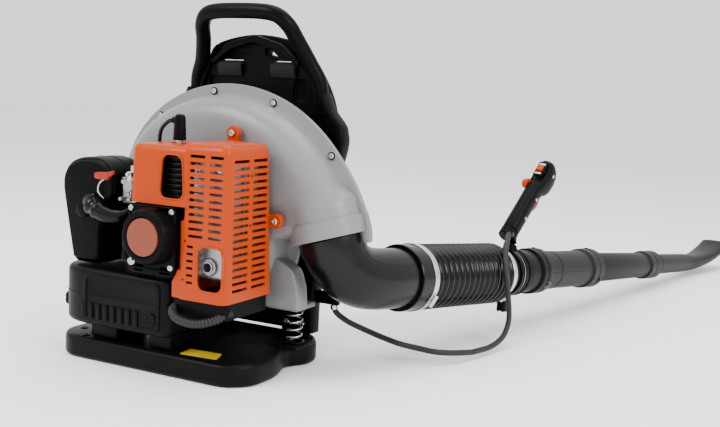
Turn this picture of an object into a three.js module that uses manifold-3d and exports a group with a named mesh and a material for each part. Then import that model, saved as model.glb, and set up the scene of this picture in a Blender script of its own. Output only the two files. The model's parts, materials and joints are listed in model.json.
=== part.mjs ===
// Backpack leaf blower: a two-stroke engine and fan on a back frame, with a jointed blowing duct.
// Millimetres, +Z up, +X to the wearer's right, +Y towards the wearer.
// The origin is the middle of the base plate's underside.

import * as THREE from 'three';
import { mergeVertices } from 'three/addons/utils/BufferGeometryUtils.js';
import Module from 'manifold-3d';

const wasm = await Module();
wasm.setup();

// ---- driving dimensions -------------------------------------------------
const GAP = 0.3; // clearance between touching pieces
const BASE = { halfWidth: 175, rear: -165, front: 73, thick: 33 };
const FRAME = { x: 25, y: 80, thick: 14, archTop: 494, loopTop: 528, loopR: 12 };
const CRANK = { x: 25, z: 202 }; // crank and fan axis, parallel to Y
const CASING = { halfDepth: 52, wall: 3, flange: 12, flangeThick: 4, rearHole: 45, intake: 72 };
const OUTLET = new THREE.Vector3(213, 0, 200);
const OUTLET_DIR = new THREE.Vector3(0.29, 0, -0.957).normalize();
const OUTLET_R = 57;
const SPRING = { x: 155, bottom: 35.2, top: 85.8, coilR: 11, wireR: 1.5, turns: 4.5 };
const DUCT_START = new THREE.Vector3(266.6, 110.8, 131.1);
const DUCT_DIR = new THREE.Vector3(0.1917, 0.9776, -0.0872).normalize();
const GRIP_FOOT = new THREE.Vector3(330, 438, 178);
const GRIP_DIR = new THREE.Vector3(28, 104, 112).normalize();
const CABLE_R = 4.75;
const ENGINE_Y = -120; // cylinder axis
const COVER = { left: 64, right: 148, rear: -173, front: -56, bottom: 117, top: 336, wall: 2.5 };

// ---- materials ------------------------------------------------------------
const finish = (color, roughness, metalness = 0) =>
  new THREE.MeshStandardMaterial({ color, roughness, metalness });
const looks = {
  black: finish(0x17181a, 0.55),
  dark: finish(0x2b2d30, 0.6),
  duct: finish(0x3f4143, 0.65),
  grey: finish(0xa9abad, 0.45),
  orange: finish(0xf26a1b, 0.4),
  red: finish(0xb8382a, 0.45),
  terracotta: finish(0xb5624c, 0.5),
  steel: finish(0xb9bcc0, 0.3, 1),
  aluminium: finish(0x9fa3a7, 0.4, 1),
  rubber: finish(0x121212, 0.8),
  yellow: finish(0xe8c81e, 0.6),
  webbing: finish(0x1c1d20, 0.9),
};

const group = new THREE.Group();

// ---- solid helpers --------------------------------------------------------
function solid(geometry) {
  geometry.deleteAttribute('normal');
  geometry.deleteAttribute('uv');
  const merged = mergeVertices(geometry, 1e-4);
  return new wasm.Manifold(new wasm.Mesh({
    numProp: 3,
    vertProperties: new Float32Array(merged.attributes.position.array),
    triVerts: new Uint32Array(merged.index.array),
  }));
}

function toGeometry(manifold) {
  const { numProp, vertProperties, triVerts } = manifold.getMesh();
  const geometry = new THREE.BufferGeometry();
  const positions = new Float32Array((vertProperties.length / numProp) * 3);
  for (let i = 0; i < positions.length / 3; i += 1) {
    for (let k = 0; k < 3; k += 1) positions[3 * i + k] = vertProperties[numProp * i + k];
  }
  geometry.setAttribute('position', new THREE.BufferAttribute(positions, 3));
  geometry.setIndex(Array.from(triVerts));
  return geometry;
}

function put(name, manifold, look, parent = group) {
  const mesh = new THREE.Mesh(toGeometry(manifold), look);
  mesh.name = name;
  parent.add(mesh);
  return mesh;
}

const join = (list) => list.reduce((sum, item) => sum.add(item));
const cut = (body, ...tools) => tools.reduce((left, tool) => left.subtract(tool), body);

function box(x0, x1, y0, y1, z0, z1) {
  const shape = new THREE.BoxGeometry(x1 - x0, y1 - y0, z1 - z0);
  shape.translate((x0 + x1) / 2, (y0 + y1) / 2, (z0 + z1) / 2);
  return solid(shape);
}

// Turns geometry whose axis is +Y so that it points along a direction, then moves it.
function aim(geometry, origin, direction) {
  const turn = new THREE.Quaternion().setFromUnitVectors(new THREE.Vector3(0, 1, 0), direction);
  geometry.applyQuaternion(turn);
  geometry.translate(origin.x, origin.y, origin.z);
  return geometry;
}

function rod(from, to, r0, r1 = r0, sides = 16) {
  const direction = new THREE.Vector3().subVectors(to, from);
  const length = direction.length();
  const shape = new THREE.CylinderGeometry(r1, r0, length, sides);
  shape.translate(0, length / 2, 0);
  return solid(aim(shape, from, direction.normalize()));
}

// Profile points are [radius, distance along the axis], ending on the axis or closing on itself.
function turned(profile, origin, direction, sides = 20) {
  const points = profile.map(([r, y]) => new THREE.Vector2(r, y));
  if (profile[0][0] > 0) points.push(points[0].clone());
  let area = 0;
  profile.forEach(([r, y], i) => {
    const [rNext, yNext] = profile[(i + 1) % profile.length];
    area += r * yNext - rNext * y;
  });
  if (area < 0) points.reverse();
  return solid(aim(new THREE.LatheGeometry(points, sides), origin, direction));
}

function outline(points) {
  return new THREE.Shape(points.map(([a, b]) => new THREE.Vector2(a, b)));
}

function bevelled(shape, depth, bevel, segments = 1) {
  const options = bevel > 0
    ? { depth: depth - 2 * bevel, bevelSize: bevel, bevelThickness: bevel,
      bevelOffset: -bevel, bevelSegments: segments, curveSegments: 3 }
    : { depth, bevelEnabled: false, curveSegments: 3 };
  const body = new THREE.ExtrudeGeometry(shape, options);
  if (bevel > 0) body.translate(0, 0, bevel);
  return body;
}

// A shape drawn in XY, standing from z0 to z1.
function upright(shape, z0, z1, bevel = 0) {
  return solid(bevelled(shape, z1 - z0, bevel).translate(0, 0, z0));
}

// A shape drawn in XZ, running from y0 to y1.
function across(shape, y0, y1, bevel = 0) {
  return solid(bevelled(shape, y1 - y0, bevel).rotateX(Math.PI / 2).translate(0, y1, 0));
}

// A rectangle with round corners.
function roundedBox(a0, a1, b0, b1, r) {
  const shape = new THREE.Shape();
  shape.moveTo(a0 + r, b0);
  shape.lineTo(a1 - r, b0);
  shape.absarc(a1 - r, b0 + r, r, -Math.PI / 2, 0, false);
  shape.lineTo(a1, b1 - r);
  shape.absarc(a1 - r, b1 - r, r, 0, Math.PI / 2, false);
  shape.lineTo(a0 + r, b1);
  shape.absarc(a0 + r, b1 - r, r, Math.PI / 2, Math.PI, false);
  shape.lineTo(a0, b0 + r);
  shape.absarc(a0 + r, b0 + r, r, Math.PI, 1.5 * Math.PI, false);
  return shape;
}

// Skins rings of equal length into one solid; the ends are closed unless the loft is a loop.
function loft(rings, looped = false) {
  const count = rings[0].length;
  const positions = rings.flat().flatMap((p) => [p.x, p.y, p.z]);
  const index = [];
  const spans = looped ? rings.length : rings.length - 1;
  for (let i = 0; i < spans; i += 1) {
    const next = (i + 1) % rings.length;
    for (let j = 0; j < count; j += 1) {
      const a = i * count + j;
      const b = i * count + ((j + 1) % count);
      const c = next * count + j;
      const d = next * count + ((j + 1) % count);
      index.push(a, b, d, a, d, c);
    }
  }
  if (!looped) {
    const last = (rings.length - 1) * count;
    for (let j = 1; j < count - 1; j += 1) {
      index.push(0, j + 1, j);
      index.push(last, last + j, last + j + 1);
    }
  }
  const geometry = new THREE.BufferGeometry();
  geometry.setAttribute('position', new THREE.BufferAttribute(new Float32Array(positions), 3));
  geometry.setIndex(index);
  let volume = 0;
  const at = (k) => new THREE.Vector3(...positions.slice(3 * k, 3 * k + 3));
  for (let t = 0; t < index.length; t += 3) {
    volume += at(index[t]).dot(at(index[t + 1]).cross(at(index[t + 2])));
  }
  if (volume < 0) index.reverse();
  geometry.setIndex(index);
  return solid(geometry);
}

function circleRing(centre, normal, radius, sides, flat = 1) {
  const turn = new THREE.Quaternion().setFromUnitVectors(new THREE.Vector3(0, 1, 0), normal);
  return Array.from({ length: sides }, (_, k) => {
    const angle = (2 * Math.PI * k) / sides;
    return new THREE.Vector3(radius * Math.cos(angle), 0, radius * flat * Math.sin(angle))
      .applyQuaternion(turn)
      .add(centre);
  });
}

// A round cord or wire of constant radius along a curve.
function wire(curve, radius, sides, steps) {
  const section = new THREE.Shape();
  for (let k = 0; k < sides; k += 1) {
    const angle = (2 * Math.PI * k) / sides;
    if (k === 0) section.moveTo(radius, 0);
    else section.lineTo(radius * Math.cos(angle), radius * Math.sin(angle));
  }
  return solid(new THREE.ExtrudeGeometry(section, { steps, bevelEnabled: false, extrudePath: curve }));
}

const vec = (x, y, z) => new THREE.Vector3(x, y, z);
const curveThrough = (points) => new THREE.CatmullRomCurve3(points.map((p) => vec(...p)));
const onDuct = (distance) => DUCT_START.clone().addScaledVector(DUCT_DIR, distance);
const X = vec(1, 0, 0);
const Y = vec(0, 1, 0);
const Z = vec(0, 0, 1);

// ---- base plate, springs and label ---------------------------------------------
function basePlate() {
  const { halfWidth: w, rear, front, thick } = BASE;
  const shape = new THREE.Shape();
  shape.moveTo(-w + 30, rear);
  shape.lineTo(w - 30, rear);
  shape.absarc(w - 30, rear + 30, 30, -Math.PI / 2, 0, false);
  const side = [[w, -75], [160, -34], [160, -20], [w, 8], [w, 34], [150, front]];
  side.forEach(([x, y]) => shape.lineTo(x, y));
  side.slice().reverse().forEach(([x, y]) => shape.lineTo(-x, y));
  shape.lineTo(-w, rear + 30);
  shape.absarc(-w + 30, rear + 30, 30, Math.PI, 1.5 * Math.PI, false);
  put('base_plate', upright(shape, 0, thick, 4), looks.black);
}

function isolatorSprings() {
  const { bottom, top, coilR, wireR, turns } = SPRING;
  for (const [name, side] of [['isolator_spring_left', -1], ['isolator_spring_right', 1]]) {
    const points = [];
    for (let k = 0; k <= turns * 8; k += 1) {
      const angle = (2 * Math.PI * k) / 8;
      const height = bottom + ((top - bottom) * k) / (turns * 8);
      points.push([side * SPRING.x + coilR * Math.cos(angle), coilR * Math.sin(angle), height]);
    }
    put(name, wire(curveThrough(points), wireR, 5, Math.round(turns * 8)), looks.steel);
  }
}

function blankLabel() {
  const corners = [[55, -152], [118, -152], [118, -118], [55, -118]];
  put('blank_label', upright(outline(corners), BASE.thick + GAP, BASE.thick + GAP + 0.6), looks.yellow);
}

// ---- back frame and harness ----------------------------------------------------
function plateRow(z, half, y0, y1) {
  const { x } = FRAME;
  return [vec(x - half, y0, z), vec(x + half, y0, z), vec(x + half, y1, z), vec(x - half, y1, z)];
}

function backFrame() {
  const y0 = FRAME.y - FRAME.thick / 2 + GAP;
  const y1 = FRAME.y + FRAME.thick / 2;
  const rows = [[0, 121], [120, 124], [240, 140], [324, 158], [351, 158], [383, 136], [408, 120],
    [450, 98], [478, 84], [488, 52], [FRAME.archTop, 16]];
  const plate = loft(rows.map(([z, half]) => plateRow(z, half, y0, y1)));
  const railRows = [[34, 124], [120, 126], [240, 142], [324, 164], [351, 163], [363, 158], [383, 141],
    [408, 129]];
  const rails = [-1, 1].map((side) => loft(railRows.map(([z, half]) => {
    const outer = FRAME.x + side * half;
    const inner = FRAME.x + side * (half - 15);
    return [vec(outer, 60, z), vec(inner, 60, z), vec(inner, y1, z), vec(outer, y1, z)];
  })));
  const rise = [[117, 76, 390], [114, 72, 424], [101, 64, 452], [88, 48, 484], [78, 32, 509]];
  const right = rise.map(([x, y, z]) => [FRAME.x + x, y, z]);
  const left = rise.map(([x, y, z]) => [FRAME.x - x, y, z]).reverse();
  const top = [[FRAME.x + 56, 22, 524], [FRAME.x, 20, FRAME.loopTop], [FRAME.x - 56, 22, 524]];
  const loop = wire(curveThrough([...right, ...top, ...left]), FRAME.loopR, 8, 22);
  const slots = [-1, 1].map((side) => box(FRAME.x + side * 50 - 24, FRAME.x + side * 50 + 24,
    60, 100, 446, 454));
  const lightening = across(roundedBox(FRAME.x - 60, FRAME.x + 60, 60, 130, 20), 60, 100);
  const body = cut(join([plate, ...rails, loop]), ...slots, lightening);
  put('back_frame', body, looks.black);
}

// Soft pieces lie on the wearer's side of the frame.
function harness() {
  const padRows = [[150, 70, 10], [165, 96, 20], [240, 108, 24], [340, 108, 24], [410, 92, 22],
    [432, 70, 10]];
  const back = FRAME.y + FRAME.thick / 2 + 0.5;
  put('back_pad', loft(padRows.map(([z, half, thick]) => [
    vec(FRAME.x - half, back, z), vec(FRAME.x + half, back, z),
    vec(FRAME.x + half, back + thick * 0.6, z), vec(FRAME.x + half - 14, back + thick, z),
    vec(FRAME.x - half + 14, back + thick, z), vec(FRAME.x - half, back + thick * 0.6, z),
  ])), looks.webbing);
  for (const [end, side] of [['left', -1], ['right', 1]]) {
    const path = curveThrough([
      [FRAME.x + side * 52, 98, 448], [FRAME.x + side * 58, 132, 440],
      [FRAME.x + side * 72, 160, 380], [FRAME.x + side * 86, 164, 300],
      [FRAME.x + side * 96, 148, 220], [FRAME.x + side * 100, 122, 150],
    ]);
    const steps = 16;
    const rings = Array.from({ length: steps + 1 }, (_, k) => {
      const t = k / steps;
      const centre = path.getPoint(t);
      const tangent = path.getTangent(t);
      const wide = 15 + 13 * Math.sin(Math.PI * Math.min(1, t * 1.2));
      const acrossDir = vec(1, 0, 0).addScaledVector(tangent, -tangent.x).normalize();
      const outDir = new THREE.Vector3().crossVectors(tangent, acrossDir).normalize();
      return [[-1, -1], [1, -1], [1, 1], [-1, 1]].map(([a, b]) => centre.clone()
        .addScaledVector(acrossDir, a * wide).addScaledVector(outDir, b * 4.5));
    });
    put(`shoulder_strap_${end}`, loft(rings), looks.webbing);
    const x = FRAME.x + side * 101;
    put(`strap_buckle_${end}`, box(x - 16, x + 16, 108, 120, 118, 142), looks.black);
  }
}

// ---- fan casing ------------------------------------------------------------------
const scroll = [[-5, 136], [10, 246], [33, 228], [67, 217], [100, 214], [150, 214], [200, 190],
  [270, 150], [355, 136]];

function scrollRadius(degrees) {
  const angle = degrees > 355 ? degrees - 360 : degrees;
  const k = scroll.findIndex(([end]) => end >= angle);
  if (k <= 0) return scroll[0][1];
  const [a0, r0] = scroll[k - 1];
  const [a1, r1] = scroll[k];
  return r0 + ((r1 - r0) * (angle - a0)) / (a1 - a0);
}

// Sections run from the hub hole to the rim; side is -1 for the rear half and +1 for the front half.
function casingLoft(section, side) {
  const rings = [];
  for (let degrees = -5; degrees < 355; degrees += 15) {
    const angle = (degrees * Math.PI) / 180;
    const rim = scrollRadius(degrees);
    rings.push(section(rim).map(([r, y]) => vec(
      CRANK.x + r * Math.cos(angle), side * y, CRANK.z + r * Math.sin(angle),
    )));
  }
  return loft(rings, true);
}

function casingHalf(side) {
  const { halfDepth: d, wall, flange, flangeThick } = CASING;
  const hole = side < 0 ? CASING.rearHole : CASING.intake;
  const face = GAP / 2;
  const shell = casingLoft((rim) => {
    const r = rim - flange;
    return [[hole, d], [r - 38, d], [r - 13, d - 10], [r - 3, d - 30], [r, flangeThick],
      [rim, flangeThick], [rim, face], [r - wall, face], [r - 3 - wall, d - 31],
      [r - 15, d - 13], [r - 39, d - wall], [hole, d - wall]];
  }, side);
  const room = casingLoft((rim) => {
    const r = rim - flange;
    return [[20, -2], [r - wall, -2], [r - 3 - wall, d - 31], [r - 15, d - 13],
      [r - 39, d - wall], [20, d - wall]];
  }, side);
  const top = OUTLET.clone().addScaledVector(OUTLET_DIR, -66);
  const mouth = OUTLET.clone();
  const half = side < 0 ? box(-400, 400, -200, -face, -50, 600) : box(-400, 400, face, 200, -50, 600);
  const bore = rod(top.clone().addScaledVector(OUTLET_DIR, 3), mouth.clone().addScaledVector(OUTLET_DIR, 9),
    OUTLET_R - 4, OUTLET_R - 4, 20);
  const collar = rod(mouth.clone().addScaledVector(OUTLET_DIR, -26), mouth, OUTLET_R + 3, OUTLET_R + 3, 20);
  const stub = rod(top, mouth, OUTLET_R, OUTLET_R, 20).add(collar).subtract(bore).subtract(room);
  return shell.subtract(bore).add(stub.intersect(half));
}

function casing() {
  const d = CASING.halfDepth;
  const rightLeg = across(outline([[92, 96], [126, 88], [178, 88], [176, 120], [166, 150],
    [120, 166]]), -30, -GAP);
  const leftLeg = across(outline([[-98, 110], [-132, 88], [-178, 88], [-176, 118], [-160, 170]]),
    -30, -GAP);
  const feet = [-1, 1].map((side) => box(side * 155 - 20, side * 155 + 20, -28, 26, 88, 95));
  put('fan_housing_rear', join([casingHalf(-1), rightLeg, leftLeg, ...feet])
    .subtract(casingRoomRear()), looks.grey);
  put('fan_housing_front', casingHalf(1), looks.grey);
  const guardY = d + GAP;
  const origin = vec(CRANK.x, 0, CRANK.z);
  const rings = [[74, 86], [40, 45], [0.5, 14]].map(([r0, r1]) => turned(
    [[r0, guardY], [r1, guardY], [r1, guardY + 5], [r0, guardY + 5]], origin, Y, 16));
  const bars = Array.from({ length: 6 }, (_, k) => {
    const angle = (k * Math.PI) / 3;
    const bar = new THREE.BoxGeometry(76, 5, 3).translate(42, guardY + 2.5, 0).rotateY(angle);
    return solid(bar.translate(CRANK.x, 0, CRANK.z));
  });
  put('intake_guard', join([...rings, ...bars]), looks.black);
  for (const [end, side] of [['left', -1], ['right', 1]]) {
    const x = FRAME.x + side * 80;
    put(`isolator_rubber_${end}`, rod(vec(x, d + GAP, 320), vec(x, 72.8, 320), 13, 13, 12), looks.rubber);
  }
}

// The air space of the rear half, kept free of the legs' roots.
function casingRoomRear() {
  const { halfDepth: d, wall, flange } = CASING;
  return casingLoft((rim) => {
    const r = rim - flange;
    return [[30, 0], [r - wall, 0], [r - 3 - wall, d - 31], [r - 15, d - 13],
      [r - 39, d - wall], [30, d - wall]];
  }, -1);
}

function fan() {
  const origin = vec(CRANK.x, 0, CRANK.z);
  const plate = turned([[10.6, -43], [20, -43], [22, -38], [98, -38], [98, -35], [24, -35],
    [20, -16], [10.6, -16]], origin, Y, 24);
  const blades = Array.from({ length: 12 }, (_, k) => {
    const blade = new THREE.BoxGeometry(40, 58, 2.4).translate(0, -7, 0);
    blade.rotateY(0.6).translate(78, 0, 0).rotateY((2 * Math.PI * k) / 12);
    return solid(blade.translate(CRANK.x, 0, CRANK.z));
  });
  put('impeller', join([plate, ...blades]), looks.dark);
  put('fan_nut', rod(vec(CRANK.x, -15.7, CRANK.z), vec(CRANK.x, -6, CRANK.z), 14, 14, 6), looks.steel);
}

// ---- engine ------------------------------------------------------------------------
function engine() {
  const { x, z } = CRANK;
  const origin = vec(x, 0, z);
  put('crankshaft', turned([[0, -155], [7, -155], [7, -138], [10, -138], [10, -131], [29, -131],
    [29, -122.5], [9, -122.5], [9, -109.5], [29, -109.5], [29, -101], [10, -101], [10, -20],
    [0, -20]], origin, Y, 16), looks.steel);
  const caseShell = turned([[10.6, -141], [38, -141], [40, -139], [40, -93], [38, -91],
    [10.6, -91], [10.6, -97], [33, -97], [33, -135], [10.6, -135]], origin, Y, 18);
  const arms = [45, 135, 225, 315].map((degrees) => {
    const angle = (degrees * Math.PI) / 180;
    const [ux, uz] = [Math.cos(angle), Math.sin(angle)];
    const lug = rod(vec(x + 36 * ux, -98, z + 36 * uz), vec(x + 58 * ux, -98, z + 58 * uz), 6, 6, 8);
    return lug.add(rod(vec(x + 58 * ux, -104, z + 58 * uz),
      vec(x + 58 * ux, -CASING.halfDepth - GAP, z + 58 * uz), 7, 7, 8));
  });
  const neck = box(x - 18, x + 18, -139, -101, 236, 245.5);
  const rodWay = box(x - 11, x + 11, -132, -108, 205, 250);
    put('crankcase', cut(join([caseShell, ...arms, neck]), rodWay), looks.aluminium);
  put('flywheel', turned([[10.6, -87], [18, -87], [18, -84], [48, -84], [48, -66],
    [44, -66], [44, -74], [10.6, -74]], origin, Y, 18), looks.aluminium);
  put('ignition_coil', box(-52, -30, -88, -66, 222, 248).add(box(-34, -24.5, -82, -74, 224, 234)),
    looks.black);
  cylinderGroup();
}

function cylinderGroup() {
  const { x } = CRANK;
  const foot = vec(x, ENGINE_Y, 0);
  const profile = [[20, 246], [28, 246]];
  for (let k = 0; k < 5; k += 1) {
    const z = 254 + k * 11;
    profile.push([23, z], [29, z], [29, z + 3], [23, z + 3]);
  }
  profile.push([24, 312], [6, 316], [6, 309], [20, 304]);
  put('cylinder', turned(profile, foot, Z, 14), looks.aluminium);
  const pin = box(x - 16, x + 16, ENGINE_Y - 4, ENGINE_Y + 4, 262, 276);
  const crown = turned([[0, 266], [19.4, 266], [19.4, 292], [0, 294]], foot, Z, 14);
  put('piston', crown.subtract(pin), looks.aluminium);
  const bigEnd = rod(vec(x, ENGINE_Y - 2, 222), vec(x, ENGINE_Y + 9.5, 222), 9, 9, 16);
  const blade = box(x - 5, x + 5, ENGINE_Y - 1.5, ENGINE_Y + 1.5, 222, 272);
  put('connecting_rod', bigEnd.add(blade), looks.steel);
  put('spark_plug', turned([[0, 308], [5, 308], [5, 317], [9, 317], [9, 324], [5, 326],
    [5, 338], [0, 338]], foot, Z, 10), looks.steel);
  put('plug_cap', turned([[5.6, 334], [9, 334], [9, 368], [6, 371], [0, 371], [0, 341],
    [5.6, 341]], foot, Z, 12), looks.rubber);
  put('ignition_lead', wire(curveThrough([[15.5, ENGINE_Y, 362], [2, -118, 359], [-18, -110, 342],
    [-28, -98, 300], [-34, -84, 262], [-38, -78, 250.5]]), 3, 6, 14), looks.rubber);
  const can = upright(roundedBox(76, 138, -158, -78, 12), 146, 312, 8);
  const port = rod(vec(55.3, ENGINE_Y, 270), vec(77, ENGINE_Y, 270), 11, 11, 12);
  const tailpipe = rod(vec(112, -150, 166), vec(112, -164, 166), 9, 9, 12);
  const bore = rod(vec(112, -151, 166), vec(112, -166, 166), 6, 6, 12);
  put('muffler', can.add(port).add(tailpipe).subtract(bore), looks.aluminium);
}

function slotGrid(columns, rows, pitch, z, cutter) {
  const cuts = [];
  for (const [from, to] of columns) {
    for (let k = 0; k < rows; k += 1) cuts.push(cutter(from, to, z - k * pitch));
  }
  return cuts;
}

function engineCover() {
  const { left, right, rear, front, bottom, top, wall: w } = COVER;
  const tall = upright(roundedBox(left, right, rear, front + 30, 16), bottom, top, 5)
    .subtract(box(left - 1, right + 1, front, front + 60, bottom - 1, top + 1));
  const tallRoom = upright(roundedBox(left + w, right - w, rear + w, front + 28, 13), bottom - 20,
    top - w, 4);
  const flare = box(56, 90, rear, rear + 18, bottom + 2, 144.5);
  const hood = across(roundedBox(-19, 90, 247, 330, 8), rear - 3, -64, 3);
  const hoodRoom = box(-19 + w, left + w, rear - 3 + w, -50, 240, 330 - w);
  const sideWay = box(left - 3, left + w + 1, -148, front + 20, bottom - 5, 332);
  const carbWay = box(-30, -10, -142, -50, 225, 284);
  const plugHole = rod(vec(CRANK.x, ENGINE_Y, 320), vec(CRANK.x, ENGINE_Y, 345), 11.5, 11.5, 16);
  const finWindow = across(roundedBox(36, 74, 258, 318, 9), rear - 10, rear + 10);
  const exhaustWindow = across(roundedBox(100, 141, 135, 196, 9), rear - 10, rear + 10);
  const rearSlots = slotGrid([[84, 108], [117, 138]], 7, 18, 320, (a, b, z) =>
    box(a, b, rear - 5, rear + 8, z - 3, z + 3));
  const rearFeet = slotGrid([[84, 94]], 3, 18, 194, (a, b, z) =>
    box(a, b, rear - 5, rear + 8, z - 2, z + 2));
  const sideSlots = slotGrid([[-157, -116], [-108, -72]], 10, 19, 316, (a, b, z) =>
    box(right - 8, right + 5, a, b, z - 3, z + 3));
  const ears = [rod(vec(78, -66, top + 10), vec(78, -57, top + 10), 11, 11, 12),
    rod(vec(right + 8, -66, 225), vec(right + 8, -57, 225), 11, 11, 12)];
  const shell = cut(join([tall, hood, flare, ...ears]), tallRoom, hoodRoom, sideWay, carbWay,
    plugHole, finWindow, exhaustWindow, ...rearSlots, ...rearFeet, ...sideSlots);
  put('engine_cover', shell, looks.orange);
  const tray = upright(roundedBox(52, 146, -168, -60, 12), 95, 116.5, 3);
  const trayRoom = box(56, 142, -164, -64, 99, 120);
  put('lower_shroud', tray.subtract(trayRoom), looks.dark);
}

function starter() {
  const { x, z } = CRANK;
  const plate = across(roundedBox(-20, 62.5, 145, 245.5, 8), -174, -150.5, 2);
  const room = across(roundedBox(-5, 55, 172, 232, 20), -171, -149);
  const drum = turned([[0, -198], [36, -198], [39, -195], [41, -172], [0, -172]], vec(x, 0, z), Y, 28);
  const ropeWay = rod(vec(-30, -163, 175), vec(0, -163, 175), 3, 3, 8);
  const axleWay = turned([[0, -172], [9, -172], [9, -140], [0, -140]], vec(x, 0, z), Y, 16);
  put('starter_housing', cut(plate.add(drum), room, ropeWay, axleWay), looks.black);
  put('starter_badge', rod(vec(x, -198.3, z), vec(x, -199.6, z), 26.5, 26.5, 28), looks.terracotta);
  put('starter_reel', turned([[0, -171.4], [7, -171.4], [7, -169], [27, -169], [27, -167],
    [21, -166], [21, -160], [27, -159], [27, -157], [0, -157]], vec(x, 0, z), Y, 20), looks.black);
  const bar = rod(vec(-32, -163, 160), vec(-32, -163, 190), 7, 7, 10);
  const rope = rod(vec(-36, -163, 175), vec(-6.5, -163, 175), 1.8, 1.8, 8);
  put('starter_handle', bar.add(rope), looks.dark);
}

function intakeSide() {
  const body = box(-66, -34, -136, -104, 236, 272);
  const bowl = rod(vec(-50, ENGINE_Y, 226), vec(-50, ENGINE_Y, 237), 13, 13, 12);
  const insulator = rod(vec(-35, ENGINE_Y, 254), vec(-5.5, ENGINE_Y, 254), 13, 13, 12);
  put('carburettor', join([body, bowl, insulator]), looks.aluminium);
  const pivot = vec(-50, 0, 254);
  const arm = box(-54, -46, -140.3, -138.3, 250, 282);
  const shaft = rod(vec(-50, -140.3, 254), vec(-50, -136.3, 254), 5, 5, 10);
  put('throttle_lever', arm.add(shaft).translate([0, 0, pivot.z - 254]), looks.steel);
  const caseShape = outline([[-148, 142], [-160, 200], [-171, 257], [-169, 276], [-158, 291],
    [-138, 299], [-108, 301], [-88, 296], [-72, 280], [-70, 250], [-84, 236], [-96, 200], [-98, 142]]);
  const caseBody = across(caseShape, -148, -78, 6);
  const caseRoom = across(outline([[-142, 150], [-162, 258], [-150, 284], [-108, 292], [-82, 282],
    [-92, 240], [-104, 200], [-106, 150]]), -142, -70);
  const window = rod(vec(-86, ENGINE_Y, 254), vec(-66, ENGINE_Y, 254), 11, 11, 12);
  put('air_filter_case', cut(caseBody, caseRoom, window), looks.black);
  put('filter_element', across(outline([[-138, 160], [-154, 256], [-144, 276], [-112, 282],
    [-96, 262], [-108, 204], [-110, 160]]), -132, -84), looks.webbing);
  const grip = box(-102, -67, -156, -150, 271, 279);
  const hub = rod(vec(-80, -156, 275), vec(-80, -148.4, 275), 6, 6, 10);
  put('choke_lever', grip.add(hub), looks.red);
}

function fuel() {
  const tankShape = new THREE.Shape();
  tankShape.moveTo(-110, -170);
  tankShape.lineTo(38, -170);
  tankShape.absarc(38, -158, 12, -Math.PI / 2, 0, false);
  tankShape.lineTo(50, -64);
  tankShape.lineTo(-163, -64);
  tankShape.lineTo(-163, -124);
  tankShape.quadraticCurveTo(-160, -166, -110, -170);
  const tank = upright(tankShape, 55, 140, 7);
  const feet = [box(-110, -60, -150, -80, BASE.thick + GAP, 60), box(0, 40, -150, -80,
    BASE.thick + GAP, 60)];
  const ribs = Array.from({ length: 8 }, (_, k) => box(-108 + k * 14, -101 + k * 14, -173, -168, 66, 90));
  const neck = rod(vec(-160, -112, 76), vec(-178, -112, 76), 10, 10, 16);
  put('fuel_tank', join([tank, ...feet, ...ribs, neck]), looks.black);
  put('fuel_cap', turned([[10.5, 3], [15, 3], [15, 21], [12, 24], [0, 24], [0, 16], [10.5, 16]],
    vec(-164, -112, 76), vec(-1, 0, 0), 16), looks.black);
  put('fuel_line', wire(curveThrough([[-62, -100, 140.8], [-62, -98, 165], [-60, -96, 205],
    [-54, -99, 240], [-52, -100.9, 248]]), 2.6, 6, 10), looks.rubber);
}

// ---- duct ----------------------------------------------------------------------------
// A hollow round piece on the duct line: [distance, outer radius, inner radius] at each step.
function ductPiece(steps, sides = 20) {
  const outer = steps.map(([distance, radius]) => [radius, distance]);
  const inner = steps.map(([distance, , radius]) => [radius, distance]).reverse();
  return turned([...outer, ...inner], onDuct(0), DUCT_DIR, sides);
}

const elbowCurve = new THREE.CubicBezierCurve3(
  OUTLET.clone().addScaledVector(OUTLET_DIR, 1), vec(233, 0, 133), onDuct(-60), onDuct(0));

function bentTube(radius, overrun) {
  const steps = 8;
  const rings = Array.from({ length: steps + 1 }, (_, k) => circleRing(
    elbowCurve.getPoint(k / steps), elbowCurve.getTangent(k / steps), radius, 16));
  rings.push(circleRing(onDuct(26 + overrun), DUCT_DIR, radius, 16));
  if (overrun > 0) {
    const before = elbowCurve.getPoint(0).addScaledVector(elbowCurve.getTangent(0), -overrun);
    rings.unshift(circleRing(before, elbowCurve.getTangent(0), radius, 16));
  }
  return loft(rings);
}

function flexibleDuct() {
  put('elbow', bentTube(46.5, 0).subtract(bentTube(43.5, 2)), looks.dark);
  put('elbow_clamp', ductPiece([[31, 54.6, 52.4], [42, 54.6, 52.4]], 16), looks.steel);
  const ribs = 10;
  const pitch = 22;
  const profile = [[52, 2], [52, 46]];
  for (let k = 0; k < ribs; k += 1) {
    profile.push([47.5, 50 + k * pitch], [52, 61 + k * pitch]);
  }
  profile.push([44, 272], [44, 296], [40.5, 296], [40.5, 268], [47, 44], [47, 2]);
  put('bellows', turned(profile, onDuct(0), DUCT_DIR, 16), looks.rubber);
  put('bellows_clamp', ductPiece([[279, 46.6, 44.4], [290, 46.6, 44.4]], 16), looks.steel);
}

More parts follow.
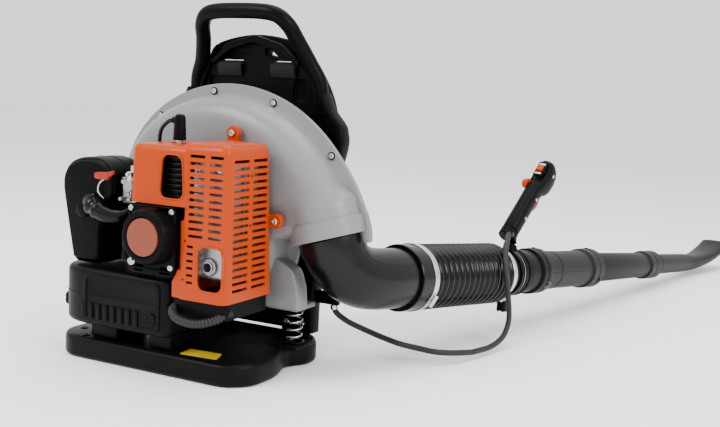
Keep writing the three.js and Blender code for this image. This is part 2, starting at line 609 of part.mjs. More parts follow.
function rigidDuct() {
  put('swivel_pipe', ductPiece([[298, 39, 35.5], [394, 38, 34.5], [394.5, 42, 34.5], [430, 42, 34.5]]),
    looks.dark);
  put('tube_1', ductPiece([[430.4, 35.5, 33], [603, 35.5, 33], [603.5, 39, 33], [646, 39, 33]]),
    looks.duct);
  put('tube_2', ductPiece([[646.4, 30, 27.5], [898, 27, 24.5], [898.5, 31, 24.5], [951, 31, 24.5]]),
    looks.duct);
  const tipPath = [[951.4, 23, 23, 0], [1140, 21, 21, 0], [1190, 25, 17, 2], [1250, 30, 13, 12],
    [1305, 33, 10, 28], [1345, 34, 9, 44]];
  const tip = (inset) => loft(tipPath.map(([distance, wide, high, lift], k) => {
    const overrun = [-1, 0, 0, 0, 0, 1][k] * (inset > 0 ? 2 : 0);
    const centre = onDuct(distance + overrun).add(vec(0, 0, lift + overrun * 0.4));
    return circleRing(vec(0, 0, 0), Y, 1, 16).map((p) => vec(
      centre.x + p.x * (wide - inset), centre.y - p.x * (wide - inset) * 0.196,
      centre.z + p.z * (high - inset)));
  }));
  put('nozzle', tip(0).subtract(tip(2.4)), looks.duct);
  const ring = ductPiece([[312, 42.5, 39.3], [348, 42.5, 39.3]]);
  const tab = solid(aim(new THREE.BoxGeometry(14, 24, 34).translate(0, 330, 0), onDuct(0), DUCT_DIR));
  const lowered = tab.translate([0, 0, -54]);
  const arm = loft([
    circleRing(onDuct(336).add(vec(0, 0, 34)), vec(0, 0.2, 0.98).normalize(), 15, 12),
    circleRing(GRIP_FOOT.clone().addScaledVector(GRIP_DIR, -0.6), GRIP_DIR, 13.5, 12),
  ]);
  const bore = rod(onDuct(300), onDuct(360), 39.3, 39.3, 20);
  put('handle_clamp', cut(ring.add(lowered).add(arm), bore), looks.black);
}

// The grip is drawn upright, with +Z along it and +Y away from the wearer's palm.
function gripFrame() {
  const front = DUCT_DIR.clone().addScaledVector(GRIP_DIR, -DUCT_DIR.dot(GRIP_DIR)).normalize();
  const side = new THREE.Vector3().crossVectors(front, GRIP_DIR);
  const holder = new THREE.Group();
  holder.quaternion.setFromRotationMatrix(new THREE.Matrix4().makeBasis(side, front, GRIP_DIR));
  holder.position.copy(GRIP_FOOT);
  group.add(holder);
  return holder;
}

function grip() {
  const holder = gripFrame();
  const rows = [[0, 15, 15, 0], [20, 15, 16, 0], [60, 14, 17, 0], [95, 15, 18, 1], [112, 17, 22, 6],
    [130, 18, 25, 8], [148, 17, 22, 6], [157, 12, 12, 2]];
  const body = loft(rows.map(([z, wide, deep, shift]) => circleRing(vec(0, shift, z), Z, wide, 16)
    .map((p) => vec(p.x, shift + ((p.y - shift) * deep) / wide, p.z))));
  const triggerWay = box(-5, 5, 8, 50, 60, 101);
  const switchWay = box(-7, 7, -30, -8, 118, 146);
  const leverWay = box(-20, -8, -14, -4, 84, 114);
  const whole = cut(body, triggerWay, switchWay, leverWay);
  put('grip_left', whole.intersect(box(-60, -GAP / 2, -60, 60, -10, 200)), looks.dark, holder);
  put('grip_right', whole.intersect(box(GAP / 2, 60, -60, 60, -10, 200)), looks.dark, holder);
  const blade = bevelled(outline([[9.5, 99], [22, 99], [30, 84], [27, 68], [22, 66], [22, 84],
    [12, 90]]), 8, 0).translate(0, 0, -4);
  blade.applyMatrix4(new THREE.Matrix4().makeBasis(Y, Z, X));
  put('throttle_trigger', solid(blade), looks.orange, holder);
  put('stop_switch', box(-6, 6, -22, -9, 126, 138), looks.orange, holder);
  put('cruise_lever', box(-17, -9, -16, -9, 88, 108).add(box(-18, -11, -23, -14, 90, 100)),
    looks.orange, holder);
}

// ---- throttle cable ---------------------------------------------------------------------
const cableLower = [[183, 68.4, 81.4], [188, 71, 71], [202, 82, 58], [222, 95, 47], [250, 101, 38], [280, 105, 31],
  [305, 119, 25], [330, 131, 20.5], [350, 155, 17], [365, 195, 12]];
const cableUpper = [[365, 196, 12], [375, 248, 11], [380, 289, 19], [380, 314, 37], [378, 321, 59],
  [375, 316, 94], [370, 312, 133], [360, 337, 160], [346, 384, 176], [338, 412, 174]];

function throttleCable() {
  put('throttle_cable_lower', wire(curveThrough(cableLower), CABLE_R, 8, 18), looks.rubber);
  put('throttle_cable_upper', wire(curveThrough(cableUpper), CABLE_R, 8, 24), looks.rubber);
  const bracket = box(151.2, 192, 64, 72.8, 84, 104);
  put('cable_bracket', bracket, looks.black);
}

basePlate();
isolatorSprings();
blankLabel();
backFrame();
harness();
casing();
fan();
engine();
engineCover();
starter();
intakeSide();
fuel();
flexibleDuct();
rigidDuct();
grip();
throttleCable();

export default group;
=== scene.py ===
import json
import math

import bmesh
import bpy
from mathutils import Matrix, Vector


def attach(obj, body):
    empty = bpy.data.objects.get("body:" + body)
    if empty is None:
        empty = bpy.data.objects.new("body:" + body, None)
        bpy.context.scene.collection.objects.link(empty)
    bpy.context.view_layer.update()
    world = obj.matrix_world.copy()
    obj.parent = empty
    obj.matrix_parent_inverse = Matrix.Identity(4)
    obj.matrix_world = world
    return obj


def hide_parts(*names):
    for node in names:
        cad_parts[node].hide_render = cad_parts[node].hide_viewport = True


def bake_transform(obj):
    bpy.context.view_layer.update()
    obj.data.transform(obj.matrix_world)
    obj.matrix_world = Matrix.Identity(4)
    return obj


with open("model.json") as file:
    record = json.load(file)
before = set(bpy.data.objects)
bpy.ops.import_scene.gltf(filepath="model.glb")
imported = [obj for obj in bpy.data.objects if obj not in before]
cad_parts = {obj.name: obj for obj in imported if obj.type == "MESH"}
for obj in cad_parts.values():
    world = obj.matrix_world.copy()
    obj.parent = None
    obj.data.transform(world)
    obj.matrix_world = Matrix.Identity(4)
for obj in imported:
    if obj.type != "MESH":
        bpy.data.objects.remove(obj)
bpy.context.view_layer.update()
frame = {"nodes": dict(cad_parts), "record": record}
print("frame loaded:", len(frame["nodes"]), "nodes")

mm = 0.001                                  # everything below is drawn in millimetres
crank = Vector((25, 0, 202))                # crank and fan axis, along Y
outlet = Vector((213, 0, 200))              # mouth of the fan casing
outletDir = Vector((0.29, 0, -0.957)).normalized()
ductStart = Vector((266.6, 110.8, 131.1))   # where the elbow ends and the straight run begins
ductDir = Vector((0.1917, 0.9776, -0.0872)).normalized()
gripFoot = Vector((330, 438, 178))
gripDir = Vector((28, 104, 112)).normalized()
gripFront = (ductDir - gripDir * ductDir.dot(gripDir)).normalized()
gripSide = gripFront.cross(gripDir)
axisX, axisY, axisZ = (Vector(row) for row in ((1, 0, 0), (0, 1, 0), (0, 0, 1)))
originPoint = Vector((0, 0, 0))
scene = bpy.context.scene


# a drawn point in metres
def metres(point):
    return tuple(Vector(point) * mm)


def onDuct(distance):
    return ductStart + ductDir * distance


def onGrip(side, front, along):
    return gripFoot + gripSide * side + gripFront * front + gripDir * along


# camera, light and floor
def addCamera():
    view = {"azimuth": 27.97, "pitch": -7.34, "roll": 2.58, "lens": 52.0, "place": (0.9522, -1.3077, 0.4313)}
    turn, pitch, roll = (math.radians(view[k]) for k in ("azimuth", "pitch", "roll"))
    forward = Vector((-math.sin(turn) * math.cos(pitch), math.cos(turn) * math.cos(pitch), math.sin(pitch)))
    right = Vector((math.cos(turn), math.sin(turn), 0))
    up = right.cross(forward)
    rightRolled = right * math.cos(roll) + up * math.sin(roll)
    upRolled = up * math.cos(roll) - right * math.sin(roll)
    data = bpy.data.cameras.new("camera")
    data.lens = view["lens"]
    data.sensor_width = 36
    camera = bpy.data.objects.new("camera", data)
    basis = Matrix((rightRolled, upRolled, -forward)).transposed().to_4x4()
    camera.matrix_world = Matrix.Translation(view["place"]) @ basis
    scene.collection.objects.link(camera)
    scene.camera = camera


def addLight(name, place, target, size, watts):
    data = bpy.data.lights.new(name, "AREA")
    data.shape = "DISK"
    data.size = size
    data.energy = watts
    light = bpy.data.objects.new(name, data)
    light.location = place
    light.rotation_euler = (Vector(target) - Vector(place)).to_track_quat("-Z", "Y").to_euler()
    scene.collection.objects.link(light)


def addStudio():
    addLight("keyLight", (-1.1, -1.9, 2.3), (0.05, 0.2, 0.2), 1.4, 75)
    addLight("sideLight", (2.4, -0.6, 1.5), (0.2, 0.4, 0.15), 1.2, 48)
    addLight("topLight", (0.3, 0.6, 2.6), (0.2, 0.5, 0.0), 2.2, 50)
    world = bpy.data.worlds.new("studio")
    world.use_nodes = True
    world.node_tree.nodes["Background"].inputs["Color"].default_value = (1, 1, 1, 1)
    world.node_tree.nodes["Background"].inputs["Strength"].default_value = 1.5
    scene.world = world
    mesh = bpy.data.meshes.new("floor")
    reach = 9.0
    mesh.from_pydata([(-reach, -reach, 0), (reach, -reach, 0), (reach, reach, 0), (-reach, reach, 0)], [],
                     [(0, 1, 2, 3)])
    floor = bpy.data.objects.new("floor", mesh)
    paint = bpy.data.materials.new("floorPaint")
    paint.use_nodes = True
    surface = paint.node_tree.nodes["Principled BSDF"]
    surface.inputs["Base Color"].default_value = (0.93, 0.93, 0.93, 1)
    surface.inputs["Roughness"].default_value = 0.9
    mesh.materials.append(paint)
    scene.collection.objects.link(floor)


addCamera()
addStudio()
print("camera, light and floor ready")


# finishes
def makeFinish(name, color, rough, metallic=0.0, grain=900, bump=0.05, mottle=0.12, roughSpread=0.12,
               coat=0.0, smear=9.0, shine=0.5):
    paint = bpy.data.materials.new(name)
    paint.use_nodes = True
    tree = paint.node_tree
    nodes, links = tree.nodes, tree.links
    surface = nodes["Principled BSDF"]
    surface.inputs["Metallic"].default_value = metallic
    surface.inputs["Coat Weight"].default_value = coat
    surface.inputs["Specular IOR Level"].default_value = shine
    place = nodes.new("ShaderNodeTexCoord")
    broad = nodes.new("ShaderNodeTexNoise")      # slow drift of tone over the moulding
    broad.inputs["Scale"].default_value = smear
    broad.inputs["Detail"].default_value = 5
    fine = nodes.new("ShaderNodeTexNoise")       # the skin's own grain
    fine.inputs["Scale"].default_value = grain
    fine.inputs["Detail"].default_value = 3
    tone = nodes.new("ShaderNodeMix")
    tone.data_type = "RGBA"
    low = [c * (1 - mottle) for c in color]
    high = [min(1, c * (1 + mottle)) for c in color]
    tone.inputs["A"].default_value = (*low, 1)
    tone.inputs["B"].default_value = (*high, 1)
    spread = nodes.new("ShaderNodeMapRange")
    spread.inputs["To Min"].default_value = max(0.02, rough - roughSpread / 2)
    spread.inputs["To Max"].default_value = min(1, rough + roughSpread / 2)
    relief = nodes.new("ShaderNodeBump")
    relief.inputs["Strength"].default_value = bump
    relief.inputs["Distance"].default_value = 0.0004
    links.new(place.outputs["Object"], broad.inputs["Vector"])
    links.new(place.outputs["Object"], fine.inputs["Vector"])
    links.new(broad.outputs["Fac"], tone.inputs["Factor"])
    links.new(tone.outputs["Result"], surface.inputs["Base Color"])
    links.new(broad.outputs["Fac"], spread.inputs["Value"])
    links.new(spread.outputs["Result"], surface.inputs["Roughness"])
    links.new(fine.outputs["Fac"], relief.inputs["Height"])
    links.new(relief.outputs["Normal"], surface.inputs["Normal"])
    return paint


def makeWeave(name, color, thread):
    paint = makeFinish(name, color, 0.85, grain=2500, bump=0.2, shine=0.25)
    tree = paint.node_tree
    nodes, links = tree.nodes, tree.links
    place = nodes["Texture Coordinate"]
    waves = []
    for axis in ("X", "Z"):
        wave = nodes.new("ShaderNodeTexWave")
        wave.bands_direction = axis
        wave.inputs["Scale"].default_value = thread
        links.new(place.outputs["Object"], wave.inputs["Vector"])
        waves.append(wave)
    mix = nodes.new("ShaderNodeMath")
    mix.operation = "MULTIPLY"
    links.new(waves[0].outputs["Fac"], mix.inputs[0])
    links.new(waves[1].outputs["Fac"], mix.inputs[1])
    weave = nodes.new("ShaderNodeBump")
    weave.inputs["Strength"].default_value = 0.5
    weave.inputs["Distance"].default_value = 0.0006
    links.new(mix.outputs["Value"], weave.inputs["Height"])
    links.new(weave.outputs["Normal"], nodes["Principled BSDF"].inputs["Normal"])
    return paint


finishes = {
    "black": makeFinish("blackPlastic", (0.0016, 0.0016, 0.0017), 0.38, grain=1400, bump=0.12, shine=0.06),
    "blackGloss": makeFinish("blackGloss", (0.0022, 0.0022, 0.0024), 0.27, grain=600, bump=0.03, shine=0.22),
    "charcoal": makeFinish("charcoalPlastic", (0.0022, 0.0022, 0.0023), 0.38, grain=1200, bump=0.15, shine=0.08),
    "tube": makeFinish("tubePlastic", (0.0075, 0.0077, 0.008), 0.44, grain=1600, bump=0.15, shine=0.14),
    "grey": makeFinish("greyPlastic", (0.175, 0.178, 0.182), 0.34, grain=1500, bump=0.06, mottle=0.03, shine=0.4),
    "orange": makeFinish("orangePlastic", (0.37, 0.035, 0.0), 0.3, grain=700, bump=0.04, mottle=0.05,
                         coat=0.02, shine=0.14),
    "red": makeFinish("redPlastic", (0.27, 0.016, 0.006), 0.35, grain=700, mottle=0.06, shine=0.3),
    "badge": makeFinish("badgePlastic", (0.19, 0.045, 0.024), 0.42, grain=500, mottle=0.08, shine=0.2),
    "zinc": makeFinish("zincSteel", (0.55, 0.56, 0.58), 0.24, metallic=1, grain=800, bump=0.08, smear=60),
    "cast": makeFinish("castAluminium", (0.3, 0.3, 0.31), 0.42, metallic=1, grain=1000, bump=0.3, smear=40),
    "fins": makeFinish("finAluminium", (0.035, 0.034, 0.036), 0.5, metallic=1, grain=1000, bump=0.3),
    "rubber": makeFinish("blackRubber", (0.0016, 0.0016, 0.0017), 0.2, grain=300, bump=0.03, roughSpread=0.08,
                         shine=0.18),
    "sleeve": makeFinish("cableSleeve", (0.008, 0.008, 0.008), 0.45, grain=900, bump=0.1, shine=0.3),
    "label": makeFinish("labelFilm", (0.5, 0.33, 0.0), 0.5, grain=300, bump=0.02, mottle=0.05),
    "pale": makeFinish("paleMark", (0.6, 0.59, 0.57), 0.5, grain=500, mottle=0.03),
    "webbing": makeWeave("webbing", (0.008, 0.0085, 0.0095), 900),
    "mesh": makeWeave("padMesh", (0.007, 0.0073, 0.008), 420),
    "paper": makeWeave("filterPaper", (0.3, 0.24, 0.14), 300),
}
print("finishes ready:", len(finishes))


# building helpers
def setSmooth(mesh, angle=32):
    mesh.shade_smooth()
    mesh.set_sharp_from_angle(angle=math.radians(angle))


def makeObject(name, verts, faces, finish, smooth=32):
    mesh = bpy.data.meshes.new(name)
    mesh.from_pydata([metres(v) for v in verts], [], faces)
    mesh.validate()
    work = bmesh.new()
    work.from_mesh(mesh)
    bmesh.ops.remove_doubles(work, verts=work.verts, dist=1e-6)
    bmesh.ops.recalc_face_normals(work, faces=work.faces)
    work.to_mesh(mesh)
    work.free()
    mesh.materials.append(finishes[finish])
    setSmooth(mesh, smooth)
    piece = bpy.data.objects.new(name, mesh)
    scene.collection.objects.link(piece)
    return piece


def bake(piece, smooth=32):
    graph = bpy.context.evaluated_depsgraph_get()
    mesh = bpy.data.meshes.new_from_object(piece.evaluated_get(graph))
    piece.modifiers.clear()
    piece.data = mesh
    setSmooth(mesh, smooth)
    return piece


def drop(piece):
    bpy.data.objects.remove(piece, do_unlink=True)


def combine(target, others, operation="UNION", smooth=32):
    for other in others:
        boolean = target.modifiers.new("combine", "BOOLEAN")
        boolean.operation = operation
        boolean.object = other
        boolean.solver = "EXACT"
        bake(target, smooth)
        drop(other)
    return target


def softenEdges(piece, width, segments=2, angle=40, smooth=32):
    bevel = piece.modifiers.new("soften", "BEVEL")
    bevel.width = width * mm
    bevel.segments = segments
    bevel.limit_method = "ANGLE"
    bevel.angle_limit = math.radians(angle)
    bevel.use_clamp_overlap = True
    return bake(piece, smooth)


# puts a piece on its body and hides the plain nodes it stands for
def place(piece, body, *replaced):
    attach(piece, body)
    if replaced:
        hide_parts(*replaced)
    return piece


def skin(rings, looped=False):
    count = len(rings[0])
    verts = [p for ring in rings for p in ring]
    faces = []
    spans = len(rings) if looped else len(rings) - 1
    for i in range(spans):
        n = (i + 1) % len(rings)
        for j in range(count):
            k = (j + 1) % count
            faces.append((i * count + j, i * count + k, n * count + k, n * count + j))
    if not looped:
        faces.append(tuple(range(count)))
        faces.append(tuple(range((len(rings) - 1) * count, len(rings) * count)))
    return verts, faces


def sideways(direction):
    helper = axisZ if abs(direction.z) < 0.9 else axisX
    first = direction.cross(helper).normalized()
    return first, direction.cross(first).normalized()


# how far a squarish round reaches in the direction (c, s); a power of 2 is a circle
def squareness(c, s, power):
    return (abs(c) ** power + abs(s) ** power) ** (-1 / power)


def circle(centre, direction, radius, sides=32):
    first, second = sideways(direction)
    return [centre + (first * math.cos(a) + second * math.sin(a)) * radius
            for a in (2 * math.pi * k / sides for k in range(sides))]


# profile: (distance along the axis, radius), a closed loop away from the axis or ending on it
def turnedPiece(name, profile, origin, direction, finish, sides=48, smooth=32):
    closed = profile[0][1] > 0 and profile[-1][1] > 0
    rings = []
    first, second = sideways(direction)
    for k in range(sides):
        angle = 2 * math.pi * k / sides
        out = first * math.cos(angle) + second * math.sin(angle)
        rings.append([origin + direction * d + out * r for d, r in profile])
    count = len(profile)
    verts = [p for ring in rings for p in ring]
    faces = []
    for i in range(sides):
        n = (i + 1) % sides
        for j in range(count if closed else count - 1):
            k = (j + 1) % count
            faces.append((i * count + j, i * count + k, n * count + k, n * count + j))
    return makeObject(name, verts, faces, finish, smooth)


def rod(name, start, end, radius, finish, endRadius=None, sides=32, bevel=0.0):
    start, end = Vector(start), Vector(end)
    direction = (end - start).normalized()
    length = (end - start).length
    last = radius if endRadius is None else endRadius
    profile = [(0, 0), (0, radius - bevel), (bevel, radius), (length - bevel, last), (length, last - bevel),
               (length, 0)]
    if bevel == 0:
        profile = [(0, 0), (0, radius), (length, last), (length, 0)]
    return turnedPiece(name, profile, start, direction, finish, sides)


boxFaces = [(0, 3, 2, 1), (4, 5, 6, 7), (0, 1, 5, 4), (1, 2, 6, 5), (2, 3, 7, 6), (3, 0, 4, 7)]


def prismFaces(count):
    sides = [(k, (k + 1) % count, count + (k + 1) % count, count + k) for k in range(count)]
    return [tuple(range(count)), tuple(range(count, 2 * count))] + sides


def block(name, low, high, finish, bevel=0.0, segments=3, top=None):
    (x0, y0, z0), (x1, y1, z1) = low, high
    t = top or (x0, y0, x1, y1)
    verts = [(x0, y0, z0), (x1, y0, z0), (x1, y1, z0), (x0, y1, z0),
             (t[0], t[1], z1), (t[2], t[1], z1), (t[2], t[3], z1), (t[0], t[3], z1)]
    piece = makeObject(name, verts, boxFaces, finish)
    if bevel:
        softenEdges(piece, bevel, segments, 20)
    return piece


# outline in two axes, pushed along the third: "z" stands up, "y" runs front to back, "x" across
def slab(name, outline, along, start, end, finish, bevel=0.0, segments=3, smooth=32):
    order = {"z": lambda a, b, c: (a, b, c), "y": lambda a, b, c: (a, c, b),
             "x": lambda a, b, c: (c, a, b)}[along]
    verts = [order(a, b, level) for level in (start, end) for a, b in outline]
    piece = makeObject(name, verts, prismFaces(len(outline)), finish, smooth)
    if bevel:
        softenEdges(piece, bevel, segments, 40, smooth)
    return piece


def roundRect(a0, a1, b0, b1, radius, steps=6):
    points = []
    corners = [(a1 - radius, b0 + radius, -90), (a1 - radius, b1 - radius, 0), (a0 + radius, b1 - radius, 90),
               (a0 + radius, b0 + radius, 180)]
    for a, b, start in corners:
        for k in range(steps + 1):
            angle = math.radians(start + 90 * k / steps)
            points.append((a + radius * math.cos(angle), b + radius * math.sin(angle)))
    return points


# rounds the corners of a plain polygon
def roundOff(points, radius, steps=4):
    out = []
    for k, point in enumerate(points):
        here = Vector(point)
        before = Vector(points[k - 1]) - here
        after = Vector(points[(k + 1) % len(points)]) - here
        cut = min(radius, before.length * 0.45, after.length * 0.45)
        start, end = here + before.normalized() * cut, here + after.normalized() * cut
        for s in range(steps + 1):
            t = s / steps
            out.append(tuple(start * (1 - t) ** 2 + here * 2 * t * (1 - t) + end * t ** 2))
    return out


def spline(points, steps):
    pts = [Vector(p) for p in points]
    pts = [pts[0] * 2 - pts[1]] + pts + [pts[-1] * 2 - pts[-2]]
    out = []
    for k in range(1, len(pts) - 2):
        a, b, c, d = pts[k - 1:k + 3]
        for s in range(steps):
            t = s / steps
            out.append(0.5 * ((2 * b) + (c - a) * t + (2 * a - 5 * b + 4 * c - d) * t ** 2
                              + (3 * b - a - 3 * c + d) * t ** 3))
    out.append(pts[-2].copy())
    return out


def tubeAlong(name, line, radius, finish, sides=16, smooth=40):
    up = sideways((line[1] - line[0]).normalized())[0]
    rings = []
    for k, here in enumerate(line):
        ahead = line[min(k + 1, len(line) - 1)]
        behind = line[max(k - 1, 0)]
        direction = (ahead - behind).normalized()
        up = (up - direction * up.dot(direction)).normalized()
        second = direction.cross(up)
        r = radius(k / (len(line) - 1)) if callable(radius) else radius
        rings.append([here + (up * math.cos(a) + second * math.sin(a)) * r
                      for a in (2 * math.pi * j / sides for j in range(sides))])
    verts, faces = skin(rings)
    return makeObject(name, verts, faces, finish, smooth)


# geometry node trees for what repeats
def startTree(name, inputs):
    tree = bpy.data.node_groups.new(name, "GeometryNodeTree")
    tree.interface.new_socket("Geometry", in_out="INPUT", socket_type="NodeSocketGeometry")
    for label, kind in inputs:
        tree.interface.new_socket(label, in_out="INPUT", socket_type=f"NodeSocket{kind}")
    tree.interface.new_socket("Geometry", in_out="OUTPUT", socket_type="NodeSocketGeometry")
    return tree, tree.nodes.new("NodeGroupInput"), tree.nodes.new("NodeGroupOutput")


def endTree(tree, source, goal, socket):
    realize = tree.nodes.new("GeometryNodeRealizeInstances")
    paint = tree.nodes.new("GeometryNodeSetMaterial")
    tree.links.new(socket, realize.inputs["Geometry"])
    tree.links.new(realize.outputs["Geometry"], paint.inputs["Geometry"])
    tree.links.new(source.outputs["Finish"], paint.inputs["Material"])
    tree.links.new(paint.outputs["Geometry"], goal.inputs["Geometry"])


# one copy of a small part on every point, all turned the same way
def makeScatterTree():
    tree, source, goal = startTree("scatterParts", [("Part", "Object"), ("Turn", "Rotation"),
                                                    ("Finish", "Material")])
    info = tree.nodes.new("GeometryNodeObjectInfo")
    place = tree.nodes.new("GeometryNodeInstanceOnPoints")
    link = tree.links.new
    link(source.outputs["Part"], info.inputs["Object"])
    link(source.outputs["Geometry"], place.inputs["Points"])
    link(info.outputs["Geometry"], place.inputs["Instance"])
    link(source.outputs["Turn"], place.inputs["Rotation"])
    endTree(tree, source, goal, place.outputs["Instances"])
    return tree


# a ladder of equal bars: rows down a face, one column
def makeLadderTree():
    tree, source, goal = startTree("ladderBars", [("Rows", "Int"), ("Step", "Vector"), ("Bar", "Vector"),
                                                  ("Start", "Vector"), ("Finish", "Material")])
    line = tree.nodes.new("GeometryNodeMeshLine")
    cube = tree.nodes.new("GeometryNodeMeshCube")
    place = tree.nodes.new("GeometryNodeInstanceOnPoints")
    link = tree.links.new
    link(source.outputs["Rows"], line.inputs["Count"])
    link(source.outputs["Start"], line.inputs["Start Location"])
    link(source.outputs["Step"], line.inputs["Offset"])
    link(source.outputs["Bar"], cube.inputs["Size"])
    link(line.outputs["Mesh"], place.inputs["Points"])
    link(cube.outputs["Mesh"], place.inputs["Instance"])
    endTree(tree, source, goal, place.outputs["Instances"])
    return tree


# a corrugated sleeve along a curve: one round rib and one narrow valley in every pitch
def makeFoldsTree():
    tree, source, goal = startTree("foldedSleeve", [("Radius", "Float"), ("Depth", "Float"), ("Pitch", "Float"),
                                                    ("Sides", "Int"), ("Detail", "Int"), ("Finish", "Material")])
    node, link = tree.nodes.new, tree.links.new

    def compute(operation, first, second=None):
        step = node("ShaderNodeMath")
        step.operation = operation
        link(first, step.inputs[0])
        if second is not None:
            link(second, step.inputs[1])
        return step

    measure = node("GeometryNodeCurveLength")
    resample = node("GeometryNodeResampleCurve")
    along = node("GeometryNodeSplineParameter")
    swing = node("ShaderNodeMapRange")
    ring = node("GeometryNodeCurvePrimitiveCircle")
    ring.inputs["Radius"].default_value = 1
    thicken = node("GeometryNodeSetCurveRadius")
    radius = node("GeometryNodeInputRadius")
    sweep = node("GeometryNodeCurveToMesh")
    sweep.inputs["Fill Caps"].default_value = True
    smooth = node("GeometryNodeSetShadeSmooth")
    link(source.outputs["Geometry"], measure.inputs["Curve"])
    pitches = compute("DIVIDE", measure.outputs["Length"], source.outputs["Pitch"])
    rings = compute("MULTIPLY", pitches.outputs["Value"], source.outputs["Detail"])
    link(source.outputs["Geometry"], resample.inputs["Curve"])
    link(rings.outputs["Value"], resample.inputs["Count"])
    perPitch = compute("DIVIDE", along.outputs["Length"], source.outputs["Pitch"])
    turns = compute("MULTIPLY", perPitch.outputs["Value"])
    turns.inputs[1].default_value = math.pi
    wave = compute("SINE", turns.outputs["Value"])
    rib = compute("ABSOLUTE", wave.outputs["Value"])
    inner = compute("SUBTRACT", source.outputs["Radius"], source.outputs["Depth"])
    link(rib.outputs["Value"], swing.inputs["Value"])
    link(inner.outputs["Value"], swing.inputs["To Min"])
    link(source.outputs["Radius"], swing.inputs["To Max"])
    link(resample.outputs["Curve"], thicken.inputs["Curve"])
    link(swing.outputs["Result"], thicken.inputs["Radius"])
    link(source.outputs["Sides"], ring.inputs["Resolution"])
    link(thicken.outputs["Curve"], sweep.inputs["Curve"])
    link(ring.outputs["Curve"], sweep.inputs["Profile Curve"])
    link(radius.outputs["Radius"], sweep.inputs["Scale"])
    link(sweep.outputs["Mesh"], smooth.inputs["Geometry"])
    endTree(tree, source, goal, smooth.outputs[0])
    return tree


trees = {"scatter": makeScatterTree(), "ladder": makeLadderTree(), "folds": makeFoldsTree()}
print("geometry node trees ready")


def runTree(name, host, treeName, values, smooth=32):
    modifier = host.modifiers.new("nodes", "NODES")
    modifier.node_group = trees[treeName]
    for item in trees[treeName].interface.items_tree:
        if item.in_out == "INPUT" and item.name in values:
            modifier[item.identifier] = values[item.name]
    host.update_tag()
    graph = bpy.context.evaluated_depsgraph_get()
    mesh = bpy.data.meshes.new_from_object(host.evaluated_get(graph))
    mesh.name = name
    mesh.materials.clear()
    mesh.materials.append(values["Finish"])
    mesh.polygons.foreach_set("material_index", [0] * len(mesh.polygons))
    drop(host)
    piece = bpy.data.objects.new(name, mesh)
    scene.collection.objects.link(piece)
    setSmooth(mesh, smooth)
    return piece


def pointHost(points):
    mesh = bpy.data.meshes.new("points")
    mesh.from_pydata([metres(p) for p in points], [], [])
    host = bpy.data.objects.new("points", mesh)
    scene.collection.objects.link(host)
    return host


def curveHost(points):
    data = bpy.data.curves.new("line", "CURVE")
    data.dimensions = "3D"
    line = data.splines.new("POLY")
    line.points.add(len(points) - 1)
    for k, p in enumerate(points):
        line.points[k].co = (*metres(p), 1)
    host = bpy.data.objects.new("line", data)
    scene.collection.objects.link(host)
    return host


def scatter(name, points, part, direction, finish):
    turn = tuple(axisZ.rotation_difference(Vector(direction)).to_euler())
    piece = runTree(name, pointHost(points), "scatter",
                    {"Part": part, "Turn": turn, "Finish": finishes[finish]})
    drop(part)
    return piece


def ladder(rows, start, step, bar, finish="black"):
    return runTree("ladder", pointHost([(0, 0, 0)]), "ladder",
                   {"Rows": rows, "Start": Vector(start) * mm, "Step": Vector(step) * mm,
                    "Bar": Vector(bar) * mm, "Finish": finishes[finish]})


def folds(name, line, radius, depth, pitch, sides, finish, detail=6):
    return runTree(name, curveHost(line), "folds",
                   {"Radius": radius * mm, "Depth": depth * mm, "Pitch": pitch * mm, "Sides": sides,
                    "Detail": detail, "Finish": finishes[finish]}, 60)


# a socket screw head standing on +Z
def screwHead(radius=4.4, height=3.6):
    r, h = radius, height
    return turnedPiece("screwHead", [(-0.4, 0), (-0.4, r), (h * 0.75, r), (h, r * 0.82), (h, r * 0.45),
                                     (h * 0.45, r * 0.42), (h * 0.45, 0)],
                       originPoint, axisZ, "zinc", 14)


# a hexagon nut on its washer, standing on +Z
def hexNut(radius=6.0, height=5.0):
    nut = rod("nut", (0, 0, 0.9), (0, 0, height), radius, "zinc", sides=6)
    washer = rod("washer", (0, 0, 0), (0, 0, 1.2), radius * 1.35, "zinc", sides=24)
    stud = rod("stud", (0, 0, height - 0.5), (0, 0, height + 2.5), radius * 0.5, "zinc", sides=12)
    return combine(washer, [nut, stud])


# throttle cable, first because its lie settles where the rest may stand
cable = {
    "radius": 4.75, "ridge": 0.6, "pitch": 4.4, "sides": 14,
    "lower": [(183, 68.4, 81.4), (188, 71, 71), (202, 82, 58), (222, 95, 47), (250, 101, 38), (280, 105, 31),
              (305, 119, 25), (330, 131, 20.5), (350, 155, 17), (365, 195, 12)],
    "upper": [(365, 196, 12), (375, 248, 11), (380, 289, 19), (380, 314, 37), (378, 321, 59), (375, 316, 94),
              (370, 312, 133), (360, 337, 160), (346, 384, 176), (338, 412, 174)],
    "lowerLength": 0.2538, "upperLength": 0.3454,
}


def makeCable():
    joined = metres(cable["upper"][0])
    for label, exitPoint, near, far, start, end in (
            ("lower", Vector(cable["lower"][0]) * mm, "machine", "elbow_body", (0.205, 0.085, 0.055),
             (0.34, 0.14, 0.02)),
            ("upper", joined, "elbow_body", "tube_body", joined, metres(cable["upper"][-1]))):
        line = spline(cable[label], 6)
        piece = folds("throttleCable" + label.capitalize(), line, cable["radius"], cable["ridge"],
                      cable["pitch"], cable["sides"], "sleeve")
        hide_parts("throttle_cable_" + label)
        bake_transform(piece)


makeCable()
print("throttle cable laid")


